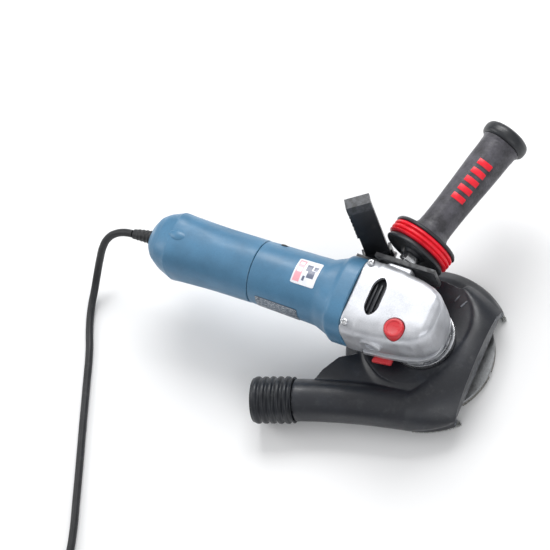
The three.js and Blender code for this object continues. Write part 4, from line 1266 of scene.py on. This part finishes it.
def build_hood():
    bell = turned(
        [(0, 1.5), (79, 1.5), (78.6, 17), (76, 26), (66, 35), (52, 40.5), (44, HOOD_TOP), (0, HOOD_TOP)],
        None, 128, 2,
    )
    edge = [on_circle(r, a) for a, r in [*CHANNEL_EDGE, *BACK_EDGE, CHANNEL_EDGE[0]]]
    plate = slab([spline(edge, i / 60)[:2] for i in range(60)], HOOD_TOP - 4, HOOD_TOP)
    web = slab([(-20, -60), (-50, -30), (-70, -41), (-80, -58), (-84, -72), (-60, -70)], 28, 37)
    outside = melted([bell, plate, lofted(channel_rings(0)), lofted(duct_rings(0)), web], 1.0, 4, 0.5)
    ticks = []
    for degrees in (62, 72):
        turn = Matrix.Rotation(math.radians(degrees), 4, "Z")
        ticks.append(bevelled(block(46, 54, -0.7, 0.7, 41, 42.8, turn), 0.3))
    front = block(CHORD_X, 200, -200, 200, -10, 100)
    wall = block(CHORD_X - HOOD_WALL, 200, -200, 200, -10, 100)
    inside = turned(
        [(0, -1), (74, -1), (74, 14), (71, 24), (62, 32), (49, 37.5), (44, 39), (0, 39)], None, 128, 0.3
    )
    below = block(-200, 200, -200, 200, -100, 2)
    shell = cut(
        joined(outside, *ticks),
        front,
        cut(inside, wall),
        cut(lofted(channel_rings(2.5)), below, wall),
        lofted(duct_rings(2.5, 4, 6)),
        rod(22.1, 30, 60, None, 96, 0.1),
        block(CHORD_X - HOOD_WALL - 1, 200, -200, 200, -10, 24),
        block(-200, 200, -200, 200, -20, HOOD_LOW),
    )
    finished("dust_hood", shell, "hood_plastic", "hood", ["hood_body"], 38)
    collar = turned([(22.1, 41.8), (28, 41.8), (28, 51), (22.1, 51)], None, 128, 0.6)
    finished("hood_collar", collar, "bright_steel", "hood")


def build_brush():
    """A base strip round the hood and tufts of bristles in it, open at the cut front."""
    random.seed(7)
    limit = math.degrees(math.acos((CHORD_X - 1) / BRISTLE_MIDDLE))
    points, faces = [], []
    degrees = limit
    while degrees < 360 - limit:
        for row in range(4):
            a = math.radians(degrees + random.uniform(-0.25, 0.25))
            r = 74.7 + row * 1.15 + random.uniform(-0.3, 0.3)
            foot = Vector((r * math.cos(a), r * math.sin(a), 4.7))
            lean = Vector((random.uniform(-0.5, 0.5), random.uniform(-0.5, 0.5), 0))
            tip = Vector((foot.x, foot.y, random.uniform(0.02, 0.3))) + lean
            tip_r = math.hypot(tip.x, tip.y)
            if tip_r > BRISTLE_REACH:
                tip = Vector((tip.x * BRISTLE_REACH / tip_r, tip.y * BRISTLE_REACH / tip_r, tip.z))
            wide = random.uniform(0.2, 0.34)
            n = len(points)
            for centre, k in ((foot, 1.0), (tip, 0.6)):
                for j in range(3):
                    b = 2 * math.pi * j / 3 + degrees
                    points.append(centre + Vector((wide * k * math.cos(b), wide * k * math.sin(b), 0)))
            faces += [(n + j, n + (j + 1) % 3, n + 3 + (j + 1) % 3, n + 3 + j) for j in range(3)]
            faces += [(n, n + 1, n + 2), (n + 3, n + 4, n + 5)]
        degrees += 0.62
    finished("bristles", mesh_of(points, faces), "bristle", "hood", ["brush_ring"], 180)


def build_hood_details():
    band = turned([(28.4, 43), (31.4, 43), (31.4, 49.4), (28.4, 49.4)], None, 128, 0.4)
    ears = [block(-8, -5, 30.8, 40, 43, 49.4), block(-1, 2, 30.8, 40, 43, 49.4)]
    split = block(-5, -1, 20, 50, 40, 52)
    bolt_frame = about((1, 0, 0), (0, 36.5, 46.2))
    hole = rod(2.4, -10, 4, bolt_frame, 24, 0.1)
    finished("band_clamp", cut(joined(band, *ears), split, hole), "bright_steel", "hood", ["clamp_band"])
    bolt = merged([
        rod(2, -11, 4, bolt_frame, 24, 0.2),
        bevelled(slab(hexagon(4), -11.5, -8.3, bolt_frame), 0.4),
        bevelled(slab(hexagon(4), 2.3, 5, bolt_frame), 0.4),
    ])
    finished("band_bolt", bolt, "bright_steel", "hood", ["clamp_band_screw"])
    profile = [(19, 0.4), (21.6, 0.4), (22, 1.0)]
    for i in range(5):
        z = 2.4 + i * 7.2
        profile += [(20.5, z), (20.5, z + 1.8), (22.3, z + 3.2), (22.3, z + 5.6)]
    profile += [(20.9, 39), (20.9, 40), (19, 40)]
    cuff = turned(profile, about(DUCT_AIM, DUCT_END), 96, 0.7)
    finished("ribbed_cuff", cuff, "cuff_rubber", "hose_cuff", ["hose_cuff"])


INNER = {
    "stator_core": "laminated_steel", "armature_core": "laminated_steel",
    "field_coil_upper": "copper", "field_coil_lower": "copper", "armature_winding": "copper",
    "commutator": "copper", "brush_holder_left": "brass", "brush_holder_right": "brass",
    "carbon_brush_left": "carbon", "carbon_brush_right": "carbon", "air_baffle": "black_plastic",
    "switch_module": "black_plastic", "rear_bearing_bracket": "black_plastic", "cooling_fan": "fan_plastic",
    "front_bearing": "bright_steel", "rear_bearing": "bright_steel", "needle_bearing": "bright_steel",
    "spindle_bearing": "bright_steel", "lock_spring": "bright_steel", "armature_shaft": "bright_steel",
    "drive_pinion": "bright_steel", "bevel_gear": "bright_steel", "spindle_shaft": "bright_steel",
}

build_camera()
build_studio()
build_cord()
build_motor_housing()
build_rear_cover()
build_labels()
build_slide_switch()
build_gear_housing()
build_flange()
build_head_details()
build_spindle()
build_handle()
build_clamp_lever()
build_hood()
build_brush()
build_hood_details()
for node, slot in INNER.items():
    kept(node, slot)
bpy.context.view_layer.update()
